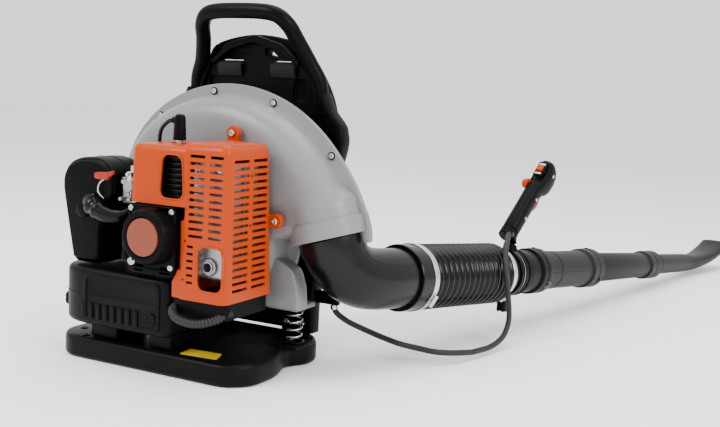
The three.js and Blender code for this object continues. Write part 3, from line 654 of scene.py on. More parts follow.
# base plate with its springs and bolts
base = {
    "outline": [(-145, -165), (145, -165), (175, -135), (175, -75), (160, -34), (160, -20), (175, 8), (175, 34),
                (150, 73), (-150, 73), (-175, 34), (-175, 8), (-160, -20), (-160, -34), (-175, -75),
                (-175, -135)],
    "thick": 33, "edge": 7, "corner": 26,
    "wells": [(-150, 150, 30, 64), (-34, 52, -40, 20)],
    "springX": 155, "springRadius": 11, "springWire": 1.5, "springTurns": 4.5, "springLow": 35.2,
    "springHigh": 85.8,
}


def makeBase():
    plate = slab("basePlateBody", roundOff(base["outline"], base["corner"], 6), "z", 0, base["thick"],
                 "charcoal", base["edge"], 4)
    wells = [slab("well", roundRect(x0, x1, y0, y1, 9), "z", base["thick"] - 3, base["thick"] + 8, "charcoal", 1.5)
             for x0, x1, y0, y1 in base["wells"]]
    combine(plate, wells, "DIFFERENCE")
    blocks = [block("footBlock", (x - 26, -30, 30), (x + 26, 30, 34.6), "charcoal", 2)
              for x in (-base["springX"] + 4, base["springX"] - 4)]
    combine(plate, blocks)
    place(plate, "machine", "base_plate")
    for side, x in (("Left", -base["springX"]), ("Right", base["springX"])):
        turns = base["springTurns"]
        steps = int(turns * 20)
        line = []
        for k in range(steps + 1):
            angle = 2 * math.pi * turns * k / steps
            rise = base["springLow"] + (base["springHigh"] - base["springLow"]) * k / steps
            line.append(Vector((x + base["springRadius"] * math.cos(angle),
                                base["springRadius"] * math.sin(angle), rise)))
        coil = folds("isolatorSpring" + side, line, base["springWire"], 0, 3.0, 10, "zinc", 1)
        place(coil, "machine", "isolator_spring_" + side.lower())
    points = [(x, 0, 94.6) for x in (-base["springX"], base["springX"])]
    place(scatter("springNuts", points, hexNut(5.5, 5), (0, 0, 1), "zinc"), "machine")
    cups = [rod("cup", (x, 0, z0), (x, 0, z1), 15.5, "rubber", sides=32, bevel=1.4)
            for x in (-base["springX"], base["springX"]) for z0, z1 in ((34.2, 38.5), (83.5, 87.9))]
    for k, cup in enumerate(cups):
        cup.name = f"springCup{k + 1}"
        place(cup, "machine")
    corners = [(-150, -120), (-118, -150), (150, 48), (-150, 48)]
    place(scatter("basePlugs", [(x, y, base["thick"] - 0.2) for x, y in corners],
                  turnedPiece("plug", [(-1, 0), (-1, 6), (0.8, 6), (1.4, 5.2), (1.4, 3), (0.4, 2.6), (0.4, 0)],
                              originPoint, axisZ, "black", 18), (0, 0, 1), "black"), "machine")
    sticker = slab("baseLabel", roundOff([(58, -152), (118, -146), (108, -118), (55, -122)], 3, 2), "z",
                   base["thick"] + 0.05, base["thick"] + 0.7, "label")
    place(sticker, "machine", "blank_label")


makeBase()
print("base plate ready")


# back frame with its carrying loop
backFrame = {
    "centre": 25,
    "outline": [(34, 121), (120, 124), (240, 140), (324, 158), (351, 158), (383, 136), (408, 120), (450, 98),
                (478, 84), (488, 52), (494, 16)],
    "rail": [(34, 124), (120, 126), (240, 142), (324, 164), (351, 163), (363, 158), (383, 141), (408, 129)],
    "loop": [(117, 76, 390), (114, 72, 424), (101, 64, 452), (88, 48, 484), (78, 32, 509), (56, 22, 524),
             (0, 20, 527)],
    "plateRear": 73.3, "plateFront": 87, "loopRadius": 12,
    "strapX": 50, "strapHalf": 24,
}


def makeBackFrame():
    middle = backFrame["centre"]
    right = [(middle + half, z) for z, half in backFrame["outline"]]
    left = [(middle - half, z) for z, half in reversed(backFrame["outline"])]
    plate = slab("backFramePlate", roundOff(right + left, 14, 5), "y", backFrame["plateRear"],
                 backFrame["plateFront"], "black", 2.5, 3)
    pockets = [roundOff([(middle - 78, 446), (middle - 12, 462), (middle - 12, 474), (middle - 70, 468)], 6),
               roundOff([(middle + 78, 446), (middle + 12, 462), (middle + 12, 474), (middle + 70, 468)], 6)]
    pockets += [roundRect(middle + x - 13, middle + x + 13, 392, 428, 8) for x in (-80, 80)]
    pockets += [roundRect(middle + x - 15, middle + x + 15, z, z + 46, 8)
                for x in (-112, -72, 72, 112) for z in (190, 252, 330)]
    cutters = [slab("pocket", shape, "y", 60, backFrame["plateRear"] + 6, "black", 1.2) for shape in pockets]
    cutters += [slab("strapSlot", roundRect(middle + x - 24, middle + x + 24, 446, 454, 3.5), "y", 60, 100,
                     "black") for x in (-backFrame["strapX"], backFrame["strapX"])]
    cutters.append(slab("window", roundRect(middle - 60, middle + 60, 60, 130, 20), "y", 60, 100, "black"))
    cutters.append(slab("peep", [(middle + 18, 464), (middle + 34, 460), (middle + 20, 472)], "y", 60, 100,
                        "black"))
    combine(plate, cutters, "DIFFERENCE")
    extra = []
    for side in (-1, 1):
        rail = spline([Vector((middle + side * half, 73, z)) for z, half in backFrame["rail"]], 5)
        rings = []
        for here in rail:
            inner, outer = here.x - side * 15, here.x
            shape = roundRect(min(inner, outer), max(inner, outer), 60.4, 86.8, 5, 3)
            rings.append([Vector((x, y, here.z)) for x, y in shape])
        extra.append(makeObject("rail", *skin(rings), "black"))
        extra.append(slab("rib", [(middle + side * 106, 400), (middle + side * 118, 392),
                                  (middle + side * 84, 470), (middle + side * 76, 478)], "y", 66,
                          80, "black", 2))
        for x in (92, 101, 128, 136):
            extra.append(block("web", (middle + side * x - 1, 62, 306), (middle + side * x + 1, 75, 352), "black",
                               0.6, 2))
    loop = [Vector((middle + half, y, z)) for half, y, z in backFrame["loop"]]
    loop += [Vector((middle - half, y, z)) for half, y, z in reversed(backFrame["loop"][:-1])]
    extra.append(tubeAlong("loop", spline(loop, 10), backFrame["loopRadius"], "black", 28))
    extra.append(slab("arch", roundOff([(middle - 84, 452), (middle - 50, 480), (middle, 493), (middle + 50, 480),
                                        (middle + 84, 452), (middle + 78, 446), (middle + 46, 470),
                                        (middle, 482), (middle - 46, 470), (middle - 78, 446)], 8), "y", 60.5, 76,
                      "black", 2))
    feet = [block("footing", (middle + side * 92 - 26, 62, 31), (middle + side * 92 + 26, 88, 62), "black", 5)
            for side in (-1, 1)]
    combine(plate, extra + feet)
    place(plate, "machine", "back_frame")
    grille = ladder(13, (middle - 55.2, 80, 95), (9.2, 0, 0), (2.6, 9, 74))
    place(grille, "machine")
    grille.name = "frameGrille"
    points = [(middle + side * 92 + dx, 62.4, 48) for side in (-1, 1) for dx in (-14, 14)]
    place(scatter("frameFootScrews", points, screwHead(5, 4), (0, -1, 0), "zinc"), "machine")


makeBackFrame()
print("back frame ready")


# fan casing
casing = {
    "rim": [(10, 246), (33, 228), (67, 217), (100, 214), (150, 214), (200, 190), (270, 150), (355, 136)],
    "flange": 17, "depth": 52, "wall": 3, "shoulder": 42, "rearHole": 45, "frontHole": 72, "steps": 132,
    "stubRadius": 57, "collarRadius": 60.5,
    "screws": [(-0.2, 403.9), (107.5, 391.0), (209.9, 319.9), (246.4, 232), (-102.4, 361.5), (-165.5, 255.6),
               (-124.6, 114.9), (10, 64)],
    "rightLeg": [(92, 96), (126, 88), (178, 88), (176, 120), (166, 150), (120, 172)],
    "leftLeg": [(-98, 110), (-132, 88), (-178, 88), (-176, 118), (-160, 170), (-120, 190)],
}


def rimAt(degrees):
    rows = casing["rim"]
    degrees = (degrees + 5) % 360 - 5
    if degrees <= rows[0][0]:
        t = (degrees + 5) / (rows[0][0] + 5)
        return rows[-1][1] + (rows[0][1] - rows[-1][1]) * t
    for k in range(len(rows) - 1):
        (a, ra), (b, rb) = rows[k:k + 2]
        if degrees <= b:
            before = rows[k - 1] if k else (a - (b - a), ra + (ra - rb))
            after = rows[k + 2] if k + 2 < len(rows) else (b + (b - a), rb + (rb - ra))
            t = (degrees - a) / (b - a)
            slopeA = (rb - before[1]) / (b - before[0]) * (b - a)
            slopeB = (after[1] - ra) / (after[0] - a) * (b - a)
            return ((2 * t ** 3 - 3 * t ** 2 + 1) * ra + (t ** 3 - 2 * t ** 2 + t) * slopeA
                    + (3 * t ** 2 - 2 * t ** 3) * rb + (t ** 3 - t ** 2) * slopeB)
    return rows[-1][1]


def casingProfile(rim, hole):
    body = rim - casing["flange"]
    wide, deep, wall = casing["shoulder"], casing["depth"] - 6, casing["wall"]
    power = 2 / 2.35
    outer = [(rim, 0.15), (rim, 3), (rim - 0.9, 3.9), (body + 2.6, 3.9), (body + 0.7, 4.6)]
    for k in range(13):
        t = math.pi / 2 * k / 12
        outer.append((body - wide + wide * math.cos(t) ** power, 6 + deep * math.sin(t) ** power))
    outer += [(hole + 12, casing["depth"]), (hole + 8, casing["depth"] - 0.8), (hole + 3, casing["depth"] + 1.4),
              (hole + 0.8, casing["depth"] + 1), (hole, casing["depth"] - 1)]
    inner = [(hole, casing["depth"] - wall)]
    for k in range(8, -1, -1):
        t = math.pi / 2 * k / 8
        inner.append((body - wide + (wide - wall) * math.cos(t) ** power,
                      4 + (casing["depth"] - 4 - wall) * math.sin(t) ** power))
    inner.append((body - wall, 0.15))
    return outer + inner


def makeCasingHalf(name, side, hole):
    rings = []
    for k in range(casing["steps"]):
        degrees = 360 * k / casing["steps"]
        angle = math.radians(degrees)
        out = Vector((math.cos(angle), 0, math.sin(angle)))
        rings.append([crank + out * r + Vector((0, side * y, 0)) for r, y in casingProfile(rimAt(degrees), hole)])
    return makeObject(name, *skin(rings, True), "grey", 28)


def makeOutlet(side):
    across = Vector((0.957, 0, 0.29))
    stations = []
    for degrees, wide, deep in ((52, 34, 38), (36, 44, 46), (22, 52, 51)):
        angle = math.radians(degrees)
        out = Vector((math.cos(angle), 0, math.sin(angle)))
        reach = rimAt(degrees) - casing["flange"] - wide - 2
        stations.append((crank + out * reach, out, wide, deep, 2.5))
    for back, radius in ((52, 56.4), (40, casing["stubRadius"]), (27, casing["stubRadius"]), (26.5, 58.6),
                         (25, casing["collarRadius"]), (2, casing["collarRadius"]), (0, 59.4)):
        stations.append((outlet - outletDir * back, across, radius, radius, 2.0))
    rings = []
    for centre, out, wide, deep, power in stations:
        ring = []
        for k in range(25):
            t = -math.pi / 2 + math.pi * k / 24
            a, b = math.sin(t), math.cos(t)
            scale = squareness(a, b, power)
            bulge = side * (0.15 + b * scale * (deep - 0.15))
            ring.append(centre + out * (a * scale * wide) + Vector((0, bulge, 0)))
        rings.append(ring)
    return makeObject("outlet", *skin(rings), "grey", 28)


def makeCasing():
    for name, side, hole, node in (("fanCasingRear", -1, casing["rearHole"], "fan_housing_rear"),
                                   ("fanCasingFront", 1, casing["frontHole"], "fan_housing_front")):
        half = makeCasingHalf(name, side, hole)
        bore = rod("bore", outlet - outletDir * 30, outlet + outletDir * 6, 53.5, "grey", sides=48)
        stub = makeOutlet(side)
        combine(stub, [bore], "DIFFERENCE")
        strip = [(236, 290), (262, 258), (277, 222), (279, 200), (268, 200), (262, 226), (240, 262)]
        parts = [stub, slab("seam", roundOff(strip, 6), "y", side * 0.15, side * 3.9, "grey", 0.7, 2)]
        if side < 0:
            parts += [slab("leg", roundOff(shape, 9), "y", -30, -0.15, "grey", 4)
                      for shape in (casing["rightLeg"], casing["leftLeg"])]
            parts += [block("foot", (x - 20, -28, 88), (x + 20, 26, 95), "grey", 2)
                      for x in (-base["springX"], base["springX"])]
        bosses = [rod("boss", (x, side * 0.2, z), (x, side * 5, z), 7.4, "grey", sides=28, bevel=0.9)
                  for x, z in casing["screws"]]
        combine(half, parts + bosses, smooth=28)
        place(half, "machine", node)
    points = [(x, -4.8, z) for x, z in casing["screws"]]
    place(scatter("casingScrews", points, screwHead(4.2, 3.2), (0, -1, 0), "zinc"), "machine")
    rings = turnedPiece("screwSeat", [(-0.6, 4.6), (-0.6, 6), (0.9, 6), (0.9, 4.6)], originPoint,
                        axisZ, "black", 20)
    place(scatter("casingScrewSeats", points, rings, (0, -1, 0), "black"), "machine")


makeCasing()
print("fan casing ready")


# duct: elbow, bellows, pipe, tubes and nozzle
duct = {
    "elbow": 46.5, "wall": 3, "bellowsPeak": 52.5, "bellowsDepth": 5.5, "bellowsPitch": 15.2,
    "bellowsStart": 45.6, "bellowsEnd": 273.6,
    "nozzle": [(951.4, 23, 23, 0), (1000, 22.6, 22.6, 0), (1060, 22, 22, 0), (1140, 21, 21, 0), (1190, 25, 17, 2),
               (1250, 30, 13, 12), (1305, 33, 10, 28), (1345, 34, 9, 44)],
    "nozzleWall": 2.4, "sides": 72,
}


def bezier(a, b, c, d, steps):
    return [a * (1 - t) ** 3 + b * 3 * t * (1 - t) ** 2 + c * 3 * t * t * (1 - t) + d * t ** 3
            for t in (k / steps for k in range(steps + 1))]


def ductTurned(name, profile, finish, sides=0):
    return turnedPiece(name, profile, ductStart, ductDir, finish, sides or duct["sides"], 30)


def makeElbow():
    line = bezier(outlet + outletDir, Vector((233, 0, 133)), onDuct(-60), onDuct(0), 30) + [onDuct(14), onDuct(26)]
    up = axisY
    outer, inner = [], []
    for k, here in enumerate(line):
        direction = (line[min(k + 1, len(line) - 1)] - line[max(k - 1, 0)]).normalized()
        up = (up - direction * up.dot(direction)).normalized()
        second = direction.cross(up)
        swell = 3.2 if k < 2 else max(0, 2.4 - 0.6 * (k - 2))
        angles = [2 * math.pi * j / 64 for j in range(64)]
        outer.append([here + (up * math.cos(a) + second * math.sin(a)) * (duct["elbow"] + swell) for a in angles])
        inner.append([here + (up * math.cos(a) + second * math.sin(a)) * (duct["elbow"] - duct["wall"])
                      for a in angles])
    elbow = makeObject("ductElbow", *skin(outer + inner[::-1], True), "blackGloss", 35)
    place(elbow, "elbow_body", "elbow")
    place(tubeAlong("elbowSeam", [ring[16] for ring in outer[3:-1]], 0.7, "blackGloss", 8), "elbow_body")


# a worm-drive hose clamp: a band with its screw housing on top
def makeClamp(name, distance, radius, width, lean, body, node):
    band = ductTurned(name, [(distance, radius - 1.2), (distance, radius), (distance + 0.6, radius + 0.5),
                             (distance + width - 0.6, radius + 0.5), (distance + width, radius),
                             (distance + width, radius - 1.2)], "zinc")
    first, second = sideways(ductDir)
    out = (first * math.cos(lean) + second * math.sin(lean)).normalized()
    along = ductDir.cross(out)
    middle = onDuct(distance + width / 2) + out * (radius + 3.4)
    housing = rod("housing", middle - along * 8, middle + along * 8, 3.9, "zinc", sides=20, bevel=0.8)
    head = rod("head", middle + along * 7, middle + along * 13, 3.6, "zinc", sides=6)
    saddle = rod("saddle", middle - out * 3.6 - along * 9, middle - out * 3.6 + along * 9, 2.4, "zinc", sides=12)
    combine(band, [housing, head, saddle])
    place(band, body, node)


def makeBellows():
    start, end = duct["bellowsStart"], duct["bellowsEnd"]
    line = [onDuct(start + (end - start) * k / 12) for k in range(13)]
    sleeve = folds("ductBellows", line, duct["bellowsPeak"], duct["bellowsDepth"], duct["bellowsPitch"], 72,
                   "rubber", 12)
    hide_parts("bellows")
    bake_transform(sleeve)
    near = ductTurned("bellowsNearCuff", [(2, 46.7), (2, 51.2), (3.5, 52.3), (44, 52.3), (47, 50.4), (47, 46.7)],
                      "rubber")
    place(near, "elbow_body")
    far = ductTurned("bellowsFarCuff", [(271, 39.5), (271, 47.5), (274, 46), (276, 44.2), (294, 44.2),
                                        (296, 43), (296, 39.5)], "rubber")
    place(far, "tube_body")
    makeClamp("elbowClamp", 31, 53.3, 11, 0.5, "elbow_body", "elbow_clamp")
    makeClamp("bellowsClamp", 279, 45.3, 11, 0.9, "tube_body", "bellows_clamp")


# bayonet hooks and the studs that they turn onto, spaced round a joint
def makeHooks(name, distance, radius, body, finish):
    first, second = sideways(ductDir)
    hooks = []
    for k in range(3):
        angle = 2 * math.pi * k / 3 + 0.5
        out = first * math.cos(angle) + second * math.sin(angle)
        ring = []
        for row in (0, 1):
            centre = onDuct(distance) + ductDir * (22 * row)
            turned = [angle - 0.2, angle + 0.2] if row == 0 else [angle - 0.08, angle + 0.32]
            for a, r in ((turned[0], radius - 1.5), (turned[1], radius - 1.5), (turned[1], radius + 2.4),
                         (turned[0], radius + 2.4)):
                ring.append(centre + (first * math.cos(a) + second * math.sin(a)) * r)
        hook = makeObject("hook", ring, boxFaces, finish)
        softenEdges(hook, 1.0, 2, 30)
        hooks.append(hook)
        stud = rod("stud", onDuct(distance + 8) + out * (radius - 2), onDuct(distance + 8) + out * (radius + 3.4),
                   3.4, finish, sides=18, bevel=0.6)
        hooks.append(stud)
    combine(hooks[0], hooks[1:])
    hooks[0].name = name
    place(hooks[0], body)


def makeRigidDuct():
    swivel = ductTurned("swivelPipe", [(298, 35.5), (298, 38.4), (299, 39), (350, 38.6), (392, 38), (393.5, 40.5),
                                       (395, 42), (409, 42), (410, 41), (412, 41), (413, 42), (428, 42),
                                       (430, 41), (430, 34.5), (360, 34.5)], "charcoal")
    place(swivel, "tube_body", "swivel_pipe")
    tube1 = ductTurned("firstTube", [(430.4, 33), (430.4, 34.6), (431.4, 35.5), (601, 35.5), (602.5, 37.4),
                                     (604, 38.9), (622, 38.9), (623, 38.1), (625, 38.1), (626, 38.9),
                                     (644.6, 38.9), (646, 37.8), (646, 33)], "tube")
    place(tube1, "tube_body", "tube_1")
    tube2 = ductTurned("secondTube", [(646.4, 27.5), (646.4, 29.4), (648, 30), (896, 27), (897.5, 29.6),
                                      (899, 30.9), (920, 30.9), (921, 30.2), (923, 30.2), (924, 30.9),
                                      (950, 30.9), (951, 30), (951, 24.5)], "tube")
    place(tube2, "tube_body", "tube_2")
    makeHooks("firstTubeHooks", 408, 40.6, "tube_body", "blackGloss")
    makeHooks("secondTubeHooks", 622, 37.4, "tube_body", "charcoal")
    place(ductTurned("firstTubeBand", [(474, 35.2), (474, 36.1), (478, 36.1), (478, 35.2)], "tube"), "tube_body")
    across = ductDir.cross(axisZ).normalized()
    for k, side in enumerate((1, -1)):
        rib = [onDuct(d) + across * side * 35.6 for d in (436, 470, 520, 560, 600)]
        place(tubeAlong(f"firstTubeRib{k + 1}", rib, 0.8, "tube", 8), "tube_body")
        rib = [onDuct(d) + across * side * (30.2 - (d - 650) * 0.0121) for d in (652, 700, 760, 830, 894)]
        place(tubeAlong(f"secondTubeRib{k + 1}", rib, 0.7, "tube", 8), "tube_body")


def nozzleRing(distance, wide, high, lift, inset):
    centre = onDuct(distance) + Vector((0, 0, lift))
    power = 2 + 1.2 * min(1, max(0, (distance - 1140) / 120))     # round at first, flatter towards the mouth
    ring = []
    for k in range(48):
        a = 2 * math.pi * k / 48
        c, s = math.cos(a), math.sin(a)
        scale = squareness(c, s, power)
        across = c * scale * (wide - inset)
        ring.append(centre + Vector((across, -across * 0.196, s * scale * (high - inset))))
    return ring


def makeNozzle():
    rows = duct["nozzle"]
    smooth = []
    for k in range(len(rows) - 1):
        for s in range(5):
            t = s / 5
            before, after = rows[max(k - 1, 0)], rows[min(k + 2, len(rows) - 1)]
            smooth.append([0.5 * (2 * b + (c - a) * t + (2 * a - 5 * b + 4 * c - d) * t ** 2
                                  + (3 * b - a - 3 * c + d) * t ** 3)
                           for a, b, c, d in zip(before, rows[k], rows[k + 1], after)])
    smooth.append(list(rows[-1]))
    outer = [nozzleRing(*row, 0) for row in smooth]
    inner = [nozzleRing(*row, duct["nozzleWall"]) for row in smooth[::-1]]
    nozzle = makeObject("flatNozzle", *skin(outer + inner, True), "tube", 35)
    place(nozzle, "nozzle_body", "nozzle")
    collar = ductTurned("nozzleCollar", [(953, 22.4), (953, 24.6), (955, 25.6), (972, 25.6), (974, 24.4),
                                         (974, 22.4)], "tube")
    place(collar, "nozzle_body")


makeElbow()
makeBellows()
makeRigidDuct()
makeNozzle()
print("duct ready")


# control handle
grip = {
    "rows": [(0, 14.4, 15, 0), (4, 15, 15.6, 0), (20, 15, 16, 0), (60, 14, 17, 0), (86, 14.4, 17.4, 0),
             (97, 15.4, 19, 1.2), (103, 16.6, 22.5, 5), (114, 17.4, 25, 8.5), (130, 17.8, 25.6, 9),
             (143, 17.2, 23.6, 7.4), (151, 15.6, 20, 4.4), (156, 12.6, 14, 2), (157.5, 9, 10, 1)],
    "joint": 0.15, "clampDistance": 330,
}


def gripBox(name, low, high, finish, bevel=0.8):
    (x0, y0, z0), (x1, y1, z1) = low, high
    corners = [(x0, y0, z0), (x1, y0, z0), (x1, y1, z0), (x0, y1, z0), (x0, y0, z1), (x1, y0, z1), (x1, y1, z1),
               (x0, y1, z1)]
    piece = makeObject(name, [onGrip(*c) for c in corners], boxFaces, finish)
    if bevel:
        softenEdges(piece, bevel, 3, 30)
    return piece


def gripSlab(name, outline, x0, x1, finish, bevel=0.8):
    verts = [onGrip(x, y, z) for x in (x0, x1) for y, z in outline]
    piece = makeObject(name, verts, prismFaces(len(outline)), finish)
    softenEdges(piece, bevel, 3, 40)
    return piece


def makeGripHalf(name, side, node):
    rings = []
    for z, wide, deep, shift in grip["rows"]:
        ring = []
        for k in range(25):
            t = -math.pi / 2 + math.pi * k / 24
            a, b = math.sin(t), math.cos(t)
            power = 2.3
            scale = squareness(a, b, power)
            back = a * scale * deep
            if z > 100 and back < 0:                      # the palm side is flat where the switches sit
                back = max(back, -17.5 + (157 - z) * 0.02)
            ring.append(onGrip(side * (grip["joint"] + b * scale * (wide - grip["joint"])), shift + back, z))
        rings.append(ring)
    half = makeObject(name, *skin(rings), "charcoal", 30)
    cutters = [gripBox("cut", (-5, 8, 50), (5, 60, 101), "black", 0),
               gripBox("cut", (-7.6, -30, 118), (7.6, -7.6, 146), "black", 0),
               gripBox("cut", (-20, -14, 84), (-8, -4, 114), "black", 0),
               gripBox("cut", (-7, -24, 96), (7, -10.5, 113), "black", 0)]
    combine(half, cutters, "DIFFERENCE", 30)
    place(half, "tube_body", node)


def makeGrip():
    makeGripHalf("gripLeft", -1, "grip_left")
    makeGripHalf("gripRight", 1, "grip_right")
    blade = gripSlab("throttleTrigger", roundOff([(9.5, 99), (22, 99), (30, 84), (28, 70), (24.5, 65.5),
                                                  (21.5, 67), (22, 84), (12, 90)], 3, 4), -4, 4, "orange", 1.2)
    place(blade, "trigger_body", "throttle_trigger")
    rocker = gripSlab("stopSwitch", roundOff([(-9, 130.4), (-18.3, 130.4), (-18.3, 126), (-20, 126), (-22, 128),
                                              (-20.9, 132), (-22, 136), (-20, 138), (-18.3, 138), (-18.3, 133.6),
                                              (-9, 133.6)], 0.5, 3), -6, 6, "orange", 0.4)
    place(rocker, "stop_body", "stop_switch")
    lever = gripSlab("cruiseLever", roundOff([(-9.2, 88), (-16, 88), (-20, 90), (-23, 94), (-23, 98), (-18, 104),
                                              (-15, 108), (-9.2, 108)], 2.4, 4), -17.4, -9, "orange", 1.2)
    place(lever, "cruise_body", "cruise_lever")
    for k, z in enumerate((121.6, 142.4)):
        mark = gripBox(f"switchMark{k + 1}", (-6.4, -17.9, z - 1.5), (6.4, -14, z + 1.5), "pale", 0.5)
        place(mark, "tube_body")
    bezel = gripBox("switchBezel", (-8.6, -18.1, 116.6), (8.6, -13, 147.4), "black", 1.2)
    combine(bezel, [gripBox("cut", (-6.8, -30, 118.6), (6.8, 0, 145.4), "black", 0)], "DIFFERENCE")
    place(bezel, "tube_body")
    screws = [onGrip(15.2, 0, z) for z in (30, 74)] + [onGrip(17.4, 6, 136)]
    place(scatter("gripScrews", screws, screwHead(3, 1.4), tuple(gripSide), "zinc"), "tube_body")


def makeHandleClamp():
    at = grip["clampDistance"]
    ring = ductTurned("handleClamp", [(at - 18, 39.3), (at - 18, 41.6), (at - 17, 42.4), (at - 11, 42.4),
                                      (at - 10, 40.8), (at - 4, 40.8), (at - 3, 42.4), (at + 3, 42.4),
                                      (at + 4, 40.8), (at + 10, 40.8), (at + 11, 42.4), (at + 17, 42.4),
                                      (at + 18, 41.6), (at + 18, 39.3)], "black")
    side = ductDir.cross(Vector((0, 0, -1))).normalized()
    down = side.cross(ductDir).normalized()
    if down.z > 0:
        down = -down
    tabs = []
    for shift in (-4.6, 4.6):
        middle = onDuct(at) + down * 54 + side * shift
        corners = [middle + side * a * 2.9 + ductDir * b * 12 + down * c * (17 if c > 0 else 15)
                   for c in (-1, 1) for a, b in ((-1, -1), (1, -1), (1, 1), (-1, 1))]
        tab = makeObject("tab", corners, boxFaces, "black")
        softenEdges(tab, 2, 3, 30)
        tabs.append(tab)
    arm = []
    foot, top = onDuct(at + 6) + Vector((0, 0, 34)), gripFoot - gripDir * 0.6
    for k in range(9):
        t = k / 8
        centre = foot.lerp(top, t)
        direction = Vector((0, 0.2, 0.98)).lerp(gripDir, t).normalized()
        arm.append(circle(centre, direction, 15.5 - 3.2 * math.sin(math.pi * t) - 1.2 * t, 32))
    armPiece = makeObject("arm", *skin(arm), "black")
    cuff = rod("cuff", top - gripDir * 17, top, 16.2, "black", sides=36, bevel=1.6)
    bore = rod("bore", onDuct(at - 30), onDuct(at + 30), 39.3, "black", sides=72)
    combine(ring, tabs + [armPiece, cuff])
    combine(ring, [bore], "DIFFERENCE")
    place(ring, "tube_body", "handle_clamp")
    place(ductTurned("clampLiner", [(at - 7, 41.2), (at - 7, 41.9), (at - 6, 41.9), (at - 6, 41.2)], "zinc"),
          "tube_body")
    bolt = onDuct(at) + down * 58
    heads = [bolt - side * 7.4, bolt + side * 7.4]
    place(scatter("clampBolt", heads[:1], screwHead(4.6, 3.6), tuple(-side), "zinc"), "tube_body")
    place(scatter("clampNut", heads[1:], hexNut(4.6, 4.2), tuple(side), "zinc"), "tube_body")
    gland = rod("cableGland", (344, 391, 176.5), (337.4, 415, 173.6), 6.6, "black", 7.6, 28, 1)
    place(gland, "tube_body")


makeGrip()
makeHandleClamp()
print("control handle ready")


# engine cover
cover = {
    "wall": 2.5, "round": 13, "slotHeight": 4.1, "sideRows": 19, "sidePitch": 9.9, "sideTop": 313,
    "sideColumns": [(-155, -119), (-109, -74)], "rearRows": 12, "rearPitch": 10, "rearTop": 318,
    "rearColumns": [(83, 108), (117, 138)], "footRows": 6, "footTop": 193,
    "ears": [(78, 346, 78, 326), (156, 225, 140, 225)],
    "windows": [("finWindowRim", [(35, 257), (77, 257), (73, 318), (39, 318)], -175.4),
                ("exhaustWindowRim", [(101, 134), (142, 134), (142, 195), (101, 195)], -172.4)],
}


def coverShell(grow):
    tall = block("tall", (64 + grow, -173 + grow, 96), (148 - grow, -50 - grow, 336 - grow), "orange",
                 cover["round"] - grow, 6, top=(64 + grow, -170 + grow, 146 - grow, -64 - grow))
    hood = block("hood", (-19 + grow, -176 + grow, 226), (84 - 2 * grow, -60 - grow, 330 - grow), "orange",
                 cover["round"] - grow - 3, 6, top=(-17 + grow, -174 + grow, 84 - 2 * grow, -66 - grow))
    flare = slab("flare", [(56 + grow, 118), (56 + grow, 141), (66, 160), (100, 160), (100, 118)], "y",
                 -172 + grow, -62 - grow, "orange", 0)
    return tall, hood, flare


def makeEngineCover():
    tall, hood, flare = coverShell(0)
    combine(tall, [block("below", (0, -220, 60), (200, 0, 118), "orange")], "DIFFERENCE")
    combine(hood, [block("below", (-60, -220, 200), (120, 0, 247), "orange")], "DIFFERENCE")
    softenEdges(flare, 3, 3, 40)
    combine(tall, [hood, flare])
    tallRoom, hoodRoom, flareRoom = coverShell(cover["wall"])
    combine(tallRoom, [hoodRoom])
    combine(tall, [tallRoom, flareRoom], "DIFFERENCE")
    cutters = [slab(name, roundOff(corners, 13, 6), "y", -190, -166, "orange")
               for name, corners, _ in cover["windows"]]
    for y0, y1 in cover["sideColumns"]:
        cutters.append(ladder(cover["sideRows"], (146, (y0 + y1) / 2, cover["sideTop"]),
                              (0, 0, -cover["sidePitch"]), (12, y1 - y0, cover["slotHeight"])))
    for x0, x1 in cover["rearColumns"]:
        cutters.append(ladder(cover["rearRows"], ((x0 + x1) / 2, -172, cover["rearTop"]),
                              (0, 0, -cover["rearPitch"]), (x1 - x0, 12, cover["slotHeight"])))
    cutters.append(ladder(cover["footRows"], (87, -172, cover["footTop"]), (0, 0, -cover["rearPitch"]),
                          (11, 12, 3.6)))
    cutters += [rod("hole", (x, -190, z), (x, -160, z), 1.7, "orange", sides=14)
                for x, z in ((76, 146), (78, 200))]
    cutters += [rod("hole", (130, y, z), (160, y, z), 2.2, "orange", sides=14)
                for y, z in ((-114, 223), (-114, 292))]
    cutters.append(rod("plugHole", (25, -120, 320), (25, -120, 345), 12, "orange", sides=32))
    combine(tall, cutters, "DIFFERENCE")
    ears = []
    for x, z, baseX, baseZ in cover["ears"]:
        lug = rod("ear", (x, -66, z), (x, -57, z), 11, "orange", sides=40, bevel=1.5)
        bridge = block("bridge", (min(x, baseX) - 9, -66, min(z, baseZ) - (9 if x > 100 else 0)),
                       (max(x, baseX) + (9 if x < 100 else 0), -57, max(z, baseZ) + (9 if x > 100 else 0)),
                       "orange", 1.5)
        ears += [lug, bridge]
    combine(tall, ears)
    tall.name = "engineCover"
    place(tall, "machine", "engine_cover")
    for name, corners, y in cover["windows"]:
        shape = roundOff(corners, 13, 6)
        middle = Vector((sum(x for x, _ in shape), 0, sum(z for _, z in shape))) / len(shape)
        rings = []
        for x, z in shape:
            edge = Vector((x, 0, z))
            out = (edge - middle).normalized()
            rings.append([edge + out * (0.4 + 1.3 * math.cos(a)) + Vector((0, y + 1.3 * math.sin(a), 0))
                          for a in (math.pi * k / 4 for k in range(8))])
        place(makeObject(name, *skin(rings, True), "orange", 50), "machine")
    seats = [(x, -66, z) for x, z, _, _ in cover["ears"]]
    place(scatter("coverScrews", seats, screwHead(5, 4), (0, -1, 0), "zinc"), "machine")


